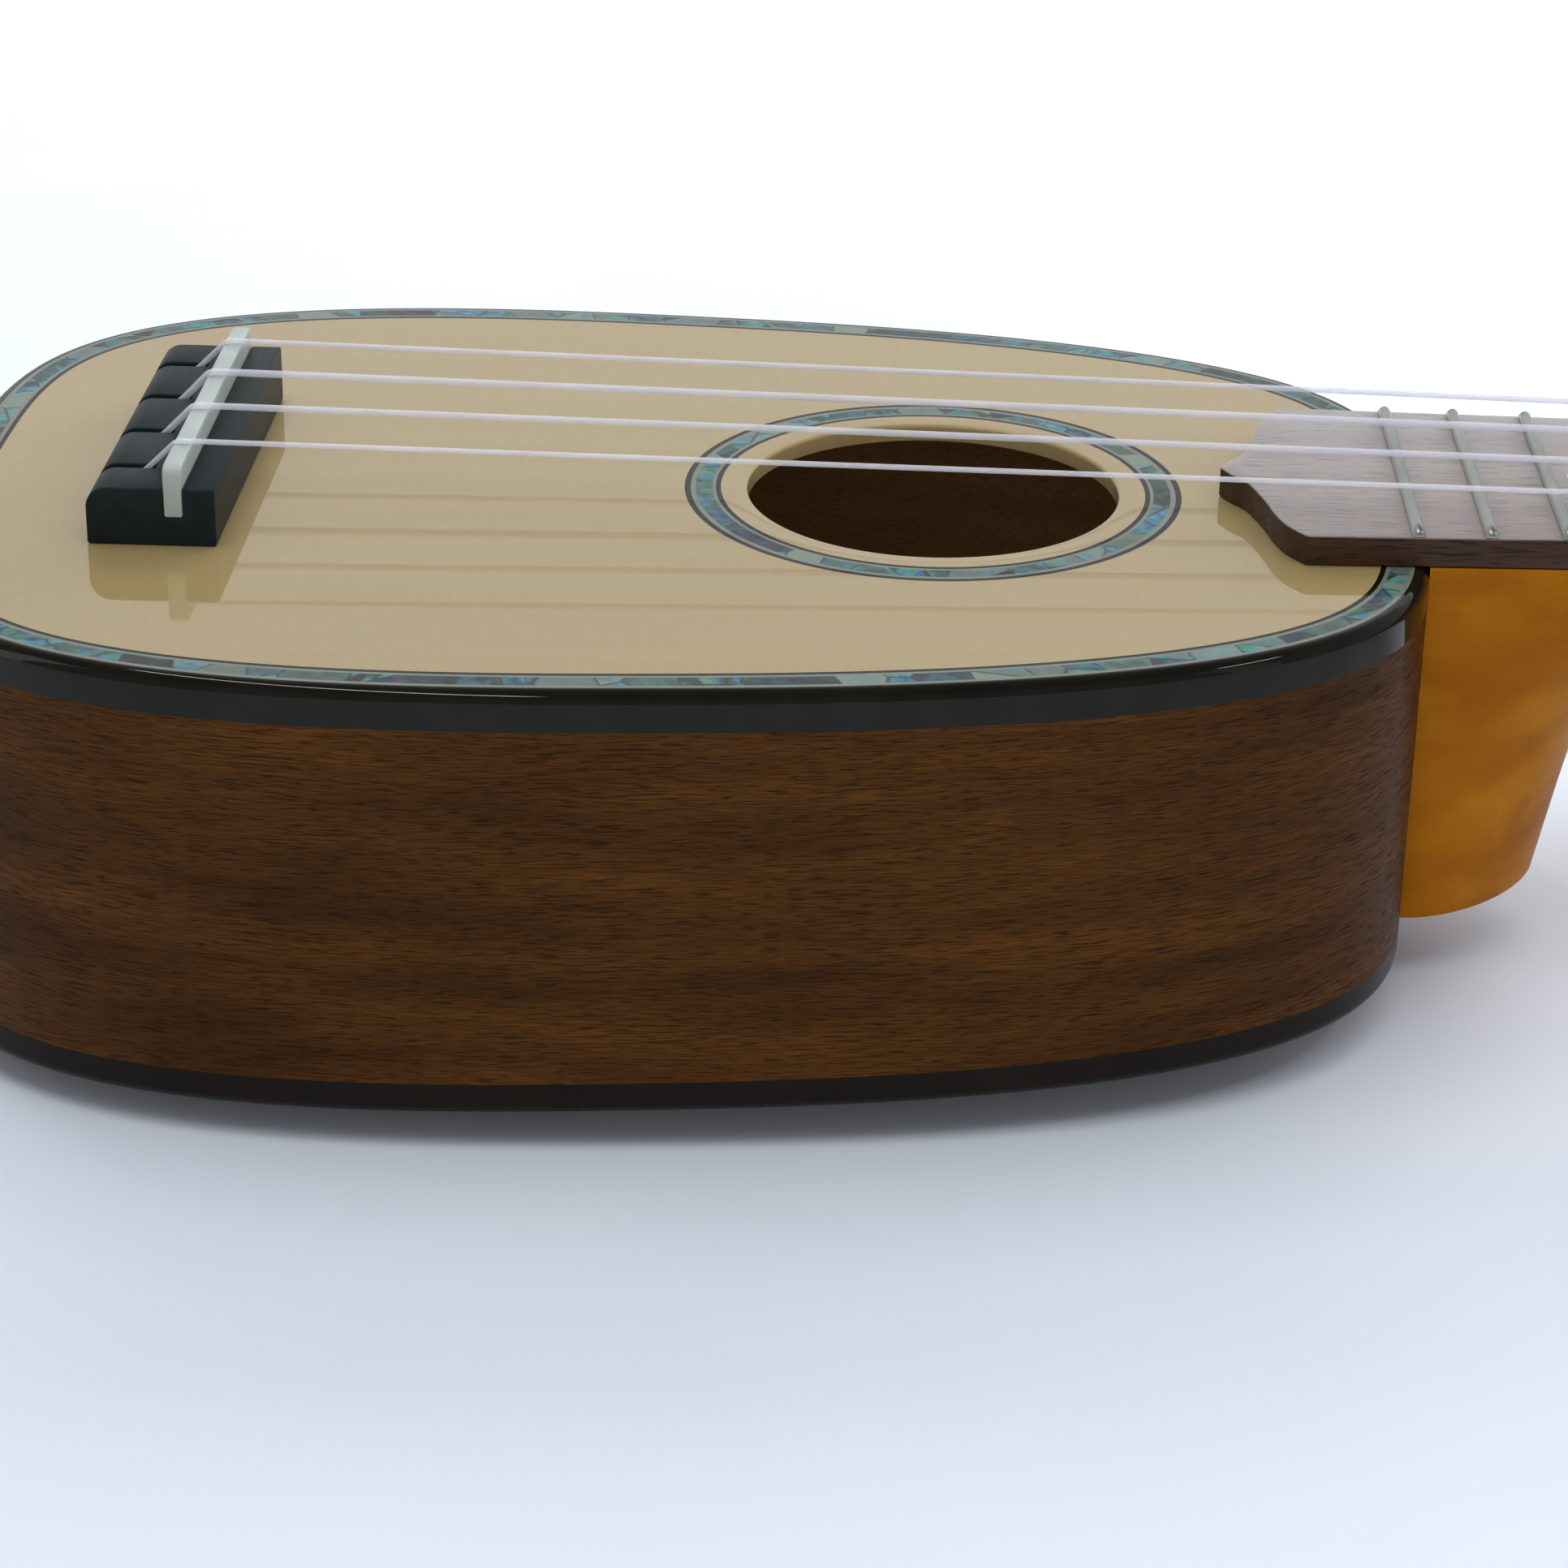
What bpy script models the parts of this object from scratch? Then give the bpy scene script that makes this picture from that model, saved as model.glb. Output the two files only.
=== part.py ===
"""Small oval-bodied ukulele, lying on its back, modelled as the pieces a maker would glue up.

Run with: blender --background --python part.py

Frame: metres, +Z up, +X along the strings towards the headstock, +Y to the bass side.
The origin is the middle of the footprint, at the lowest point of the arched back.
"""
import math

import bmesh
import bpy
import numpy as np
from mathutils import Matrix, Vector

# ---------------------------------------------------------------- driving sizes (metres)
OVERALL_LENGTH = 0.4250
SCALE_LENGTH = 0.2794            # nut to saddle line, eleven inches
FRET_COUNT = 12                  # the twelfth stands where the neck meets the body

BODY_LENGTH = 0.1756
BODY_HALF_WIDTH = 0.0635         # of the plain oval, before the egg taper widens the tail
TAIL_TO_SADDLE = 0.0336
EGG_TAPER = 0.102                # share of the width that moves from the neck end to the tail
END_FULLNESS = 2.5               # exponents of the oval: how square its ends and corners are
CORNER_FULLNESS = 3.82

TOP_HEIGHT = 0.0549              # soundboard face above the table
RIM_DEPTH_TAIL = 0.0519
RIM_DEPTH_NECK = 0.0493
BACK_LOW_POINT = 0.060           # where the arched back touches the table, from the saddle line

SIDE_THICKNESS = 0.0018
PLATE_THICKNESS = 0.0020
BINDING_WIDTH = 0.0017
TOP_BINDING_HEIGHT = 0.0045
BACK_BINDING_HEIGHT = 0.0040
BINDING_ROUND = 0.0015
PURFLING_WIDTH = 0.0039
INLAY_DEPTH = 0.0012
LINING_WIDTH = 0.0050
LINING_HEIGHT = 0.0099

HOLE_FROM_SADDLE = 0.0845
HOLE_RADIUS = 0.0220
ROSETTE_INNER = 0.0252
ROSETTE_OUTER = 0.0296

BRIDGE_FRONT = 0.0031            # both from the saddle line
BRIDGE_REAR = -0.0117
BRIDGE_HALF_LENGTH = 0.0253
BRIDGE_HEIGHT = 0.0069
BRIDGE_ROUND = 0.0025
SADDLE_CENTRE = -0.0017          # set back to keep the fretted notes in tune
SADDLE_THICKNESS = 0.0020
SADDLE_FOOT = 0.0034
SADDLE_TOP = 0.0096
STRING_SLOT_WIDTH = 0.0013
STRING_SLOT_START = -0.0048

BOARD_THICKNESS = 0.0036
BOARD_HALF_WIDTH_BODY = 0.02175  # at the shoulder of the fretboard's carved end
BOARD_HALF_WIDTH_NUT = 0.0175
BOARD_SHOULDER = 0.1270          # from the saddle line
FRET_WIDTH = 0.0015
FRET_HEIGHT = 0.0009

NUT_THICKNESS = 0.0040
NUT_HEIGHT = 0.0060
STRING_GAP_SADDLE = 0.0119
STRING_GAP_NUT = 0.0094
STRING_HEIGHT_NUT = 0.00566
STRING_DIAMETERS = (0.00064, 0.00081, 0.00090, 0.00070)   # first to fourth string

NECK_DEPTH_BODY = 0.0140
NECK_DEPTH_NUT = 0.0120
HEEL_DEPTH = 0.0466
HEEL_HALF_WIDTH = 0.0172
HEEL_REACH = 0.0173              # how far the heel's foot stands out from the body
HEEL_LEAN = 0.0090               # how much further out its front edge is at the face
HEEL_SWEEP = 0.0700              # the hollow curve that runs from the heel into the neck
HEEL_SWEEP_POWER = 6
HEEL_PLAN_POWER = 1.7            # the heel's plan: an oval drawn towards a point
HEEL_PLAN_ROOT = 0.65

HEAD_RAKE = math.radians(12.0)
HEAD_THICKNESS = 0.0100
VENEER_THICKNESS = 0.0012
POST_FROM_NUT = (0.034, 0.076)   # along the headstock face
POST_FROM_CENTRE = 0.0145
POST_RADIUS = 0.0030
POST_GROOVE_RADIUS = 0.0024
POST_HEIGHT = 0.0110
SPINDLE_RADIUS = 0.0019

GEAR_TEETH = 14
GEAR_PITCH_RADIUS = 0.0047
GEAR_ROOT_RADIUS = 0.0041
GEAR_TIP_RADIUS = 0.0051
GEAR_TOP = -0.0117               # depths below the headstock's front face
GEAR_BOTTOM = -0.0152
WORM_AXIS_DEPTH = -0.0139
WORM_PITCH_RADIUS = 0.0019
WORM_ROOT_RADIUS = 0.0013
WORM_TIP_RADIUS = 0.0023
WORM_HALF_LENGTH = 0.0032
WORM_SHAFT_RADIUS = 0.0012
PLATE_TOP = -0.0103
PLATE_BOTTOM = -0.0113
EAR_BOTTOM = -0.0166
EAR_OFFSET = 0.0050              # inner face of an ear, from the post's line
EAR_THICKNESS = 0.0011
BUTTON_CENTRE = 0.0335           # from the headstock's centreline
BUTTON_SIZE = (0.0056, 0.0070, 0.0033)

GAP = 0.0003                     # clearance between pieces that are glued or bear on each other
FINE_GAP = 0.0001                # the same between an inlay and its channel
OUTLINE_POINTS = 64
ROUND_SEGMENTS = 16

# ---------------------------------------------------------------- places worked out from the sizes
TAIL_X = -OVERALL_LENGTH / 2.0
SADDLE_LINE_X = TAIL_X + TAIL_TO_SADDLE
BODY_END_X = TAIL_X + BODY_LENGTH
NUT_X = SADDLE_LINE_X + SCALE_LENGTH
HEAD_START_X = NUT_X + NUT_THICKNESS + 2.0 * GAP
HOLE_X = SADDLE_LINE_X + HOLE_FROM_SADDLE
SHOULDER_X = SADDLE_LINE_X + BOARD_SHOULDER
BACK_CENTRE_X = SADDLE_LINE_X + BACK_LOW_POINT
NECK_START_X = BODY_END_X + GAP
WORM_AXIS_OFFSET = GEAR_PITCH_RADIUS + WORM_PITCH_RADIUS
WORM_LEAD = 2.0 * math.pi * GEAR_PITCH_RADIUS / GEAR_TEETH

FINISHES = {
    "spruce": ((0.62, 0.46, 0.28), 0.08, 0.0),
    "mahogany": ((0.11, 0.035, 0.012), 0.35, 0.0),
    "lining_wood": ((0.42, 0.26, 0.14), 0.60, 0.0),
    "amber_mahogany": ((0.40, 0.15, 0.025), 0.35, 0.0),
    "ebony": ((0.012, 0.013, 0.014), 0.40, 0.0),
    "rosewood": ((0.085, 0.045, 0.030), 0.50, 0.0),
    "black_binding": ((0.008, 0.008, 0.009), 0.10, 0.0),
    "shell": ((0.20, 0.32, 0.34), 0.15, 0.2),
    "bone": ((0.72, 0.70, 0.62), 0.35, 0.0),
    "nylon": ((0.75, 0.76, 0.80), 0.20, 0.0),
    "fret_metal": ((0.62, 0.63, 0.58), 0.25, 1.0),
    "nickel": ((0.66, 0.65, 0.62), 0.20, 1.0),
    "brass": ((0.62, 0.44, 0.18), 0.30, 1.0),
    "pearl_plastic": ((0.78, 0.76, 0.70), 0.25, 0.0),
}


# ---------------------------------------------------------------- scene helpers
def clear_scene():
    """Remove whatever objects the file opened with."""
    for old in list(bpy.data.objects):
        bpy.data.objects.remove(old, do_unlink=True)


def make_collection(name):
    """Return a new collection linked to the scene."""
    group = bpy.data.collections.new(name)
    bpy.context.scene.collection.children.link(group)
    return group


def make_finishes():
    """Return one Principled material for each entry of FINISHES."""
    made = {}
    for name, (colour, roughness, metallic) in FINISHES.items():
        material = bpy.data.materials.new(name)
        material.use_nodes = True
        shader = material.node_tree.nodes["Principled BSDF"]
        shader.inputs["Base Color"].default_value = (*colour, 1.0)
        shader.inputs["Roughness"].default_value = roughness
        shader.inputs["Metallic"].default_value = metallic
        made[name] = material
    return made


class Shop:
    """Where the pieces, the cutters and the finishes are kept while the ukulele is built."""

    def __init__(self):
        self.parts = make_collection("ukulele")
        self.tools = make_collection("cutters")
        self.finishes = make_finishes()

    def add(self, name, bm, finish, smooth=35.0, place=None):
        """Turn a bmesh into a named piece; `place` is its matrix, and the mesh is local to it."""
        bmesh.ops.recalc_face_normals(bm, faces=bm.faces)
        mesh = bpy.data.meshes.new(name)
        bm.to_mesh(mesh)
        bm.free()
        mesh.shade_smooth()
        mesh.set_sharp_from_angle(angle=math.radians(smooth))
        mesh.materials.append(self.finishes[finish])
        piece = bpy.data.objects.new(name, mesh)
        if place is not None:
            piece.matrix_world = place
        self.parts.objects.link(piece)
        return piece

    def add_cutter(self, name, bm, place=None):
        """Turn a bmesh into a hidden cutter."""
        bmesh.ops.recalc_face_normals(bm, faces=bm.faces)
        mesh = bpy.data.meshes.new(name)
        bm.to_mesh(mesh)
        bm.free()
        cutter = bpy.data.objects.new(name, mesh)
        if place is not None:
            cutter.matrix_world = place
        cutter.hide_render = True
        cutter.display_type = "WIRE"
        self.tools.objects.link(cutter)
        return cutter


def cut(piece, cutter):
    """Take the cutter's volume out of the piece."""
    step = piece.modifiers.new("cut_" + cutter.name, "BOOLEAN")
    step.operation = "DIFFERENCE"
    step.object = cutter
    return step


# ---------------------------------------------------------------- shape helpers
def skin(rows, wrap_rows, wrap_points):
    """Join rows of equally many points with quads.

    Rows that don't wrap are closed by a face over the first and the last row, and points that
    don't wrap are closed by a face over the first and the last point of every row.
    """
    bm = bmesh.new()
    grid = [[bm.verts.new(point) for point in row] for row in rows]
    row_count = len(grid)
    point_count = len(grid[0])
    for i in range(row_count if wrap_rows else row_count - 1):
        for j in range(point_count if wrap_points else point_count - 1):
            below = grid[i]
            above = grid[(i + 1) % row_count]
            k = (j + 1) % point_count
            bm.faces.new((below[j], below[k], above[k], above[j]))
    if not wrap_rows:
        bm.faces.new(grid[0])
        bm.faces.new(grid[-1])
    if not wrap_points:
        bm.faces.new([row[0] for row in grid])
        bm.faces.new([row[-1] for row in grid])
    return bm


def box(low, high):
    """Return a box between two corners."""
    bm = bmesh.new()
    bmesh.ops.create_cube(bm, size=1.0)
    size = [high[i] - low[i] for i in range(3)]
    middle = [(high[i] + low[i]) / 2.0 for i in range(3)]
    bmesh.ops.scale(bm, vec=size, verts=bm.verts)
    bmesh.ops.translate(bm, vec=middle, verts=bm.verts)
    return bm


def cylinder(radius, low, high, segments=ROUND_SEGMENTS):
    """Return a capped cylinder about Z from `low` to `high`."""
    bm = bmesh.new()
    bmesh.ops.create_cone(bm, cap_ends=True, segments=segments,
                          radius1=radius, radius2=radius, depth=high - low)
    bmesh.ops.translate(bm, vec=(0.0, 0.0, (high + low) / 2.0), verts=bm.verts)
    return bm


def bar_across(profile, half_length):
    """Return a prism along Y whose (x, z) profile is given."""
    rows = [[(x, side * half_length, z) for x, z in profile] for side in (-1.0, 1.0)]
    return skin(rows, wrap_rows=False, wrap_points=True)


def turned(profile, segments=ROUND_SEGMENTS):
    """Return a solid of revolution about Z from (radius, z) points, capped flat at both ends."""
    angles = [2.0 * math.pi * k / segments for k in range(segments)]
    rows = [[(r * math.cos(a), r * math.sin(a), z) for a in angles] for r, z in profile]
    return skin(rows, wrap_rows=False, wrap_points=True)


def arc(centre_a, centre_b, radius, start, end, steps):
    """Return points on an arc, as (a, b) pairs, from `start` to `end` degrees."""
    points = []
    for k in range(steps + 1):
        angle = math.radians(start + (end - start) * k / steps)
        points.append((centre_a + radius * math.cos(angle), centre_b + radius * math.sin(angle)))
    return points


def smooth_through(points, steps):
    """Return a Catmull-Rom curve through 2-D points, with `steps` pieces per stretch."""
    padded = [points[0]] + list(points) + [points[-1]]
    made = []
    for i in range(1, len(padded) - 2):
        p0, p1, p2, p3 = (np.array(padded[i + k]) for k in (-1, 0, 1, 2))
        for k in range(steps):
            t = k / steps
            made.append(tuple(0.5 * (2.0 * p1 + (p2 - p0) * t
                                     + (2.0 * p0 - 5.0 * p1 + 4.0 * p2 - p3) * t ** 2
                                     + (3.0 * p1 - p0 - 3.0 * p2 + p3) * t ** 3)))
    made.append(tuple(points[-1]))
    return made


# ---------------------------------------------------------------- the body's outline
def fine_outline():
    """Return the plan outline as a dense (n, 2) array, from the tail round the bass side and back."""
    angle = np.linspace(0.0, math.pi, 2401)
    along = -np.sign(np.cos(angle)) * np.abs(np.cos(angle)) ** (2.0 / END_FULLNESS)
    across = BODY_HALF_WIDTH * np.sin(angle).clip(0.0) ** (2.0 / CORNER_FULLNESS)
    across = across * (1.0 - EGG_TAPER * along)
    x = TAIL_X + BODY_LENGTH / 2.0 * (1.0 + along)
    half = np.column_stack((x, across))
    other = half[-2:0:-1] * (1.0, -1.0)
    return np.vstack((half, other))


FINE_OUTLINE = fine_outline()


def outline(inset, count=OUTLINE_POINTS):
    """Return `count` evenly spaced (x, y) points of the outline moved inwards by `inset`.

    Point 0 is at the tail on the centreline and point count/2 is at the neck.
    """
    ahead = np.roll(FINE_OUTLINE, -1, axis=0)
    behind = np.roll(FINE_OUTLINE, 1, axis=0)
    run = ahead - behind
    inward = np.column_stack((run[:, 1], -run[:, 0]))
    inward /= np.linalg.norm(inward, axis=1)[:, None]
    moved = FINE_OUTLINE + inset * inward
    closed = np.vstack((moved, moved[:1]))
    steps = np.linalg.norm(np.diff(closed, axis=0), axis=1)
    distance = np.concatenate(([0.0], np.cumsum(steps)))
    wanted = np.linspace(0.0, distance[-1], count, endpoint=False)
    return np.column_stack((np.interp(wanted, distance, closed[:, 0]),
                            np.interp(wanted, distance, closed[:, 1])))


def rim_bottom(x):
    """Return the height of the rim's lower edge, which rises a little towards the neck."""
    share = (x - TAIL_X) / BODY_LENGTH
    return TOP_HEIGHT - RIM_DEPTH_TAIL + (RIM_DEPTH_TAIL - RIM_DEPTH_NECK) * share


def flat_row(points, z):
    """Return the points at one height."""
    return [(x, y, z) for x, y in points]


def rim_row(points, rise):
    """Return the points at a fixed rise above the rim's lower edge."""
    return [(x, y, rim_bottom(x) + rise) for x, y in points]


def circle(radius, count=OUTLINE_POINTS):
    """Return points of a circle about the soundhole, in step with the outline's points."""
    middle = np.array((HOLE_X, 0.0))
    angles = [math.pi - 2.0 * math.pi * k / count for k in range(count)]
    return [tuple(middle + radius * np.array((math.cos(a), math.sin(a)))) for a in angles]


def back_height(x, y):
    """Return the height of the arched back's outer face at a point inside the rim."""
    offset = np.array((x - BACK_CENTRE_X, y))
    reach = np.hypot(*offset)
    if reach < 1e-9:
        return 0.0
    spokes = FINE_OUTLINE - np.array((BACK_CENTRE_X, 0.0))
    turn = np.abs(np.arctan2(spokes[:, 1], spokes[:, 0]) - math.atan2(offset[1], offset[0]))
    nearest = int(np.argmin(np.minimum(turn, 2.0 * math.pi - turn)))
    share = reach / np.hypot(*spokes[nearest])
    return share ** 2 * rim_bottom(FINE_OUTLINE[nearest][0])


# ---------------------------------------------------------------- the body's pieces
def build_plates(shop):
    """Make the soundboard, with its channels and hole, and the arched back."""
    edge = outline(BINDING_WIDTH + GAP)
    inner = outline(BINDING_WIDTH + PURFLING_WIDTH)
    face = TOP_HEIGHT
    floor = TOP_HEIGHT - INLAY_DEPTH
    under = TOP_HEIGHT - PLATE_THICKNESS
    rows = [flat_row(edge, under), flat_row(edge, floor), flat_row(inner, floor),
            flat_row(inner, face), flat_row(circle(ROSETTE_OUTER), face),
            flat_row(circle(ROSETTE_OUTER), floor), flat_row(circle(ROSETTE_INNER), floor),
            flat_row(circle(ROSETTE_INNER), face), flat_row(circle(HOLE_RADIUS), face),
            flat_row(circle(HOLE_RADIUS), under)]
    shop.add("soundboard", skin(rows, wrap_rows=True, wrap_points=True), "spruce")

    centre = np.array((BACK_CENTRE_X, 0.0))
    shares = (0.3, 0.6, 0.85, 1.0)
    lower = []
    upper = []
    for share in shares:
        ring = centre + share * (edge - centre)
        heights = [share ** 2 * rim_bottom(x) for x, _ in edge]
        lower.append([(p[0], p[1], z) for p, z in zip(ring, heights)])
        upper.append([(p[0], p[1], z + PLATE_THICKNESS) for p, z in zip(ring, heights)])
    bm = skin(lower + upper[::-1], wrap_rows=False, wrap_points=True)
    for low, high in ((lower[0], 0.0), (upper[0], PLATE_THICKNESS)):
        cap = next(f for f in bm.faces if len(f.verts) == OUTLINE_POINTS
                   and abs(min(v.co.z for v in f.verts) - min(p[2] for p in low)) < 1e-6)
        hub = bmesh.ops.poke(bm, faces=[cap])["verts"][0]
        hub.co = (centre[0], 0.0, high)
    shop.add("back", bm, "mahogany")


def build_rim(shop):
    """Make the two bent sides, the linings, both bindings and the shell purfling."""
    half = OUTLINE_POINTS // 2
    outer = outline(0.0)
    inner = outline(SIDE_THICKNESS)
    low = BACK_BINDING_HEIGHT + FINE_GAP
    high = TOP_HEIGHT - TOP_BINDING_HEIGHT - FINE_GAP
    for name, sign in (("side_bass", 1.0), ("side_treble", -1.0)):
        ends = []
        for ring in (outer, inner):
            points = [(x, y * sign) for x, y in ring[:half + 1]]
            points[0] = (points[0][0], sign * GAP / 2.0)
            points[-1] = (points[-1][0], sign * GAP / 2.0)
            ends.append(points)
        rows = [rim_row(ends[0], low), flat_row(ends[0], high),
                flat_row(ends[1], high), rim_row(ends[1], low)]
        shop.add(name, skin(rows, wrap_rows=True, wrap_points=False), "mahogany")

    start = SIDE_THICKNESS + 2.0 * FINE_GAP
    wide = start + LINING_WIDTH
    under = TOP_HEIGHT - PLATE_THICKNESS - FINE_GAP
    rows = [flat_row(outline(start), under), flat_row(outline(wide), under),
            flat_row(outline(wide), under - 0.3 * LINING_HEIGHT),
            flat_row(outline(start + 0.2 * LINING_WIDTH), under - LINING_HEIGHT),
            flat_row(outline(start), under - LINING_HEIGHT)]
    shop.add("top_lining", skin(rows, wrap_rows=True, wrap_points=True), "lining_wood")

    above = PLATE_THICKNESS + GAP
    rows = [rim_row(outline(start), above), rim_row(outline(wide), above),
            rim_row(outline(wide), above + 0.3 * LINING_HEIGHT),
            rim_row(outline(start + 0.2 * LINING_WIDTH), above + LINING_HEIGHT),
            rim_row(outline(start), above + LINING_HEIGHT)]
    shop.add("back_lining", skin(rows, wrap_rows=True, wrap_points=True), "lining_wood")

    rounding = arc(BINDING_ROUND, -BINDING_ROUND, BINDING_ROUND, 180.0, 90.0, 3)
    rows = [flat_row(outer, TOP_HEIGHT - TOP_BINDING_HEIGHT)]
    rows += [flat_row(outline(inset), TOP_HEIGHT + z) for inset, z in rounding]
    rows += [flat_row(outline(BINDING_WIDTH), TOP_HEIGHT),
             flat_row(outline(BINDING_WIDTH), TOP_HEIGHT - TOP_BINDING_HEIGHT)]
    shop.add("top_binding", skin(rows, wrap_rows=True, wrap_points=True), "black_binding", 50.0)

    rows = [rim_row(outer, BACK_BINDING_HEIGHT)]
    rows += [rim_row(outline(inset), -z) for inset, z in rounding]
    rows += [rim_row(outline(BINDING_WIDTH), 0.0),
             rim_row(outline(BINDING_WIDTH), BACK_BINDING_HEIGHT)]
    shop.add("back_binding", skin(rows, wrap_rows=True, wrap_points=True), "black_binding", 50.0)

    floor = TOP_HEIGHT - INLAY_DEPTH + FINE_GAP
    near = outline(BINDING_WIDTH + FINE_GAP)
    far = outline(BINDING_WIDTH + PURFLING_WIDTH - FINE_GAP)
    rows = [flat_row(near, floor), flat_row(near, TOP_HEIGHT),
            flat_row(far, TOP_HEIGHT), flat_row(far, floor)]
    shop.add("shell_purfling", skin(rows, wrap_rows=True, wrap_points=True), "shell")

    big = circle(ROSETTE_OUTER - FINE_GAP)
    small = circle(ROSETTE_INNER + FINE_GAP)
    rows = [flat_row(big, floor), flat_row(big, TOP_HEIGHT),
            flat_row(small, TOP_HEIGHT), flat_row(small, floor)]
    shop.add("shell_rosette", skin(rows, wrap_rows=True, wrap_points=True), "shell")


def build_blocks(shop):
    """Make the neck block and the tail block, stepped to clear the linings."""
    top = TOP_HEIGHT - PLATE_THICKNESS - GAP
    lining_low = top - LINING_HEIGHT - GAP
    for name, wall, depth, half_width in (
            ("neck_block", BODY_END_X - SIDE_THICKNESS - 2.0 * GAP, -0.0180, 0.0160),
            ("tail_block", TAIL_X + SIDE_THICKNESS + 2.0 * GAP, 0.0130, 0.0150)):
        step = wall + math.copysign(LINING_WIDTH + GAP, depth)
        front = wall + depth
        floor = rim_bottom(wall) + PLATE_THICKNESS + GAP
        lining_high = floor + LINING_HEIGHT + 2.0 * GAP
        profile = [(front, floor), (step, floor), (step, lining_high), (wall, lining_high),
                   (wall, lining_low), (step, lining_low), (step, top), (front, top)]
        shop.add(name, bar_across(profile, half_width), "lining_wood")


def build_braces(shop):
    """Make the cross braces of both plates and the plate under the bridge."""
    under = TOP_HEIGHT - PLATE_THICKNESS - FINE_GAP
    for name, from_saddle, reach in (("upper_top_brace", 0.1175, 0.0400),
                                     ("lower_top_brace", 0.0480, 0.0540)):
        x = SADDLE_LINE_X + from_saddle
        shape = [(-reach, 0.0), (reach, 0.0), (reach, -0.0025), (0.5 * reach, -0.0070),
                 (-0.5 * reach, -0.0070), (-reach, -0.0025)]
        rows = [[(x + side * 0.0025, y, under + z) for y, z in shape] for side in (-1.0, 1.0)]
        shop.add(name, skin(rows, wrap_rows=False, wrap_points=True), "spruce")

    for name, from_saddle, reach in (("upper_back_brace", 0.1020, 0.0460),
                                     ("lower_back_brace", 0.0200, 0.0540)):
        x = SADDLE_LINE_X + from_saddle
        stations = [reach * (k / 4.0 - 1.0) for k in range(9)]
        lift = PLATE_THICKNESS + 1.5 * GAP
        foot = [(y, back_height(x, y) + lift) for y in stations]
        crest = [(y, z + 0.0025 + 0.0045 * (1.0 - (y / reach) ** 2)) for y, z in foot[::-1]]
        rows = [[(x + side * 0.0025, y, z) for y, z in foot + crest] for side in (-1.0, 1.0)]
        shop.add(name, skin(rows, wrap_rows=False, wrap_points=True), "spruce")

    plate = box((SADDLE_LINE_X + BRIDGE_REAR - 0.004, -0.030, under - 0.0016),
                (SADDLE_LINE_X + BRIDGE_FRONT + 0.004, 0.030, under))
    shop.add("bridge_plate", plate, "lining_wood")


# ---------------------------------------------------------------- bridge, saddle and fretboard
def string_y(number, at_nut):
    """Return a string's side offset; string 1 is on the treble side, towards -Y."""
    gap = STRING_GAP_NUT if at_nut else STRING_GAP_SADDLE
    return (number - 2.5) * gap


def board_half_width(x):
    """Return half the fretboard's width at a place along it."""
    share = (x - SHOULDER_X) / (NUT_X - SHOULDER_X)
    return BOARD_HALF_WIDTH_BODY + (BOARD_HALF_WIDTH_NUT - BOARD_HALF_WIDTH_BODY) * share


def fret_x(number):
    """Return where a fret stands; each shortens the string by a semitone."""
    return SADDLE_LINE_X + SCALE_LENGTH * 2.0 ** (-number / 12.0)


def build_bridge(shop):
    """Make the slotted bridge and the saddle that stands in it."""
    low = TOP_HEIGHT + FINE_GAP
    rear = SADDLE_LINE_X + BRIDGE_REAR
    front = SADDLE_LINE_X + BRIDGE_FRONT
    crown = TOP_HEIGHT + BRIDGE_HEIGHT
    rounding = arc(rear + BRIDGE_ROUND, crown - BRIDGE_ROUND, BRIDGE_ROUND, 90.0, 180.0, 4)
    profile = [(rear, low), (front, low), (front, crown)] + rounding
    bridge = shop.add("bridge", bar_across(profile, BRIDGE_HALF_LENGTH), "ebony")

    saddle_x = SADDLE_LINE_X + SADDLE_CENTRE
    half = SADDLE_THICKNESS / 2.0
    beyond = BRIDGE_HALF_LENGTH + 0.001
    slot = box((saddle_x - half - FINE_GAP, -beyond, TOP_HEIGHT + SADDLE_FOOT),
               (saddle_x + half + FINE_GAP, beyond, crown + 0.001))
    cut(bridge, shop.add_cutter("saddle_slot", slot))
    for number in range(1, 5):
        y = string_y(number, at_nut=False)
        for label, width, z0, z1, x1 in (
                ("string_slot", STRING_SLOT_WIDTH, 0.0020, 0.0080, STRING_SLOT_START),
                ("knot_pocket", 0.0030, 0.0014, 0.0044, STRING_SLOT_START - 0.0034)):
            tool = box((rear - 0.001, y - width / 2.0, TOP_HEIGHT + z0),
                       (SADDLE_LINE_X + x1, y + width / 2.0, TOP_HEIGHT + z1))
            cut(bridge, shop.add_cutter("%s_%d" % (label, number), tool))

    foot = TOP_HEIGHT + SADDLE_FOOT + FINE_GAP
    crest = arc(saddle_x, TOP_HEIGHT + SADDLE_TOP - half, half, 0.0, 180.0, 6)
    profile = [(saddle_x - half, foot), (saddle_x + half, foot)] + crest
    shop.add("saddle", bar_across(profile, BRIDGE_HALF_LENGTH - FINE_GAP), "bone")


def carved_end():
    """Return the bass half of the fretboard's bracket-shaped end, from its tip to the shoulder."""
    shape = [(-0.0086, 0.0), (-0.0074, 0.0024), (-0.0056, 0.0052), (-0.0040, 0.0110),
             (-0.0032, 0.0150), (-0.0020, 0.0186), (0.0, BOARD_HALF_WIDTH_BODY)]
    return [(SHOULDER_X + x, y) for x, y in smooth_through(shape, 3)]


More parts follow.
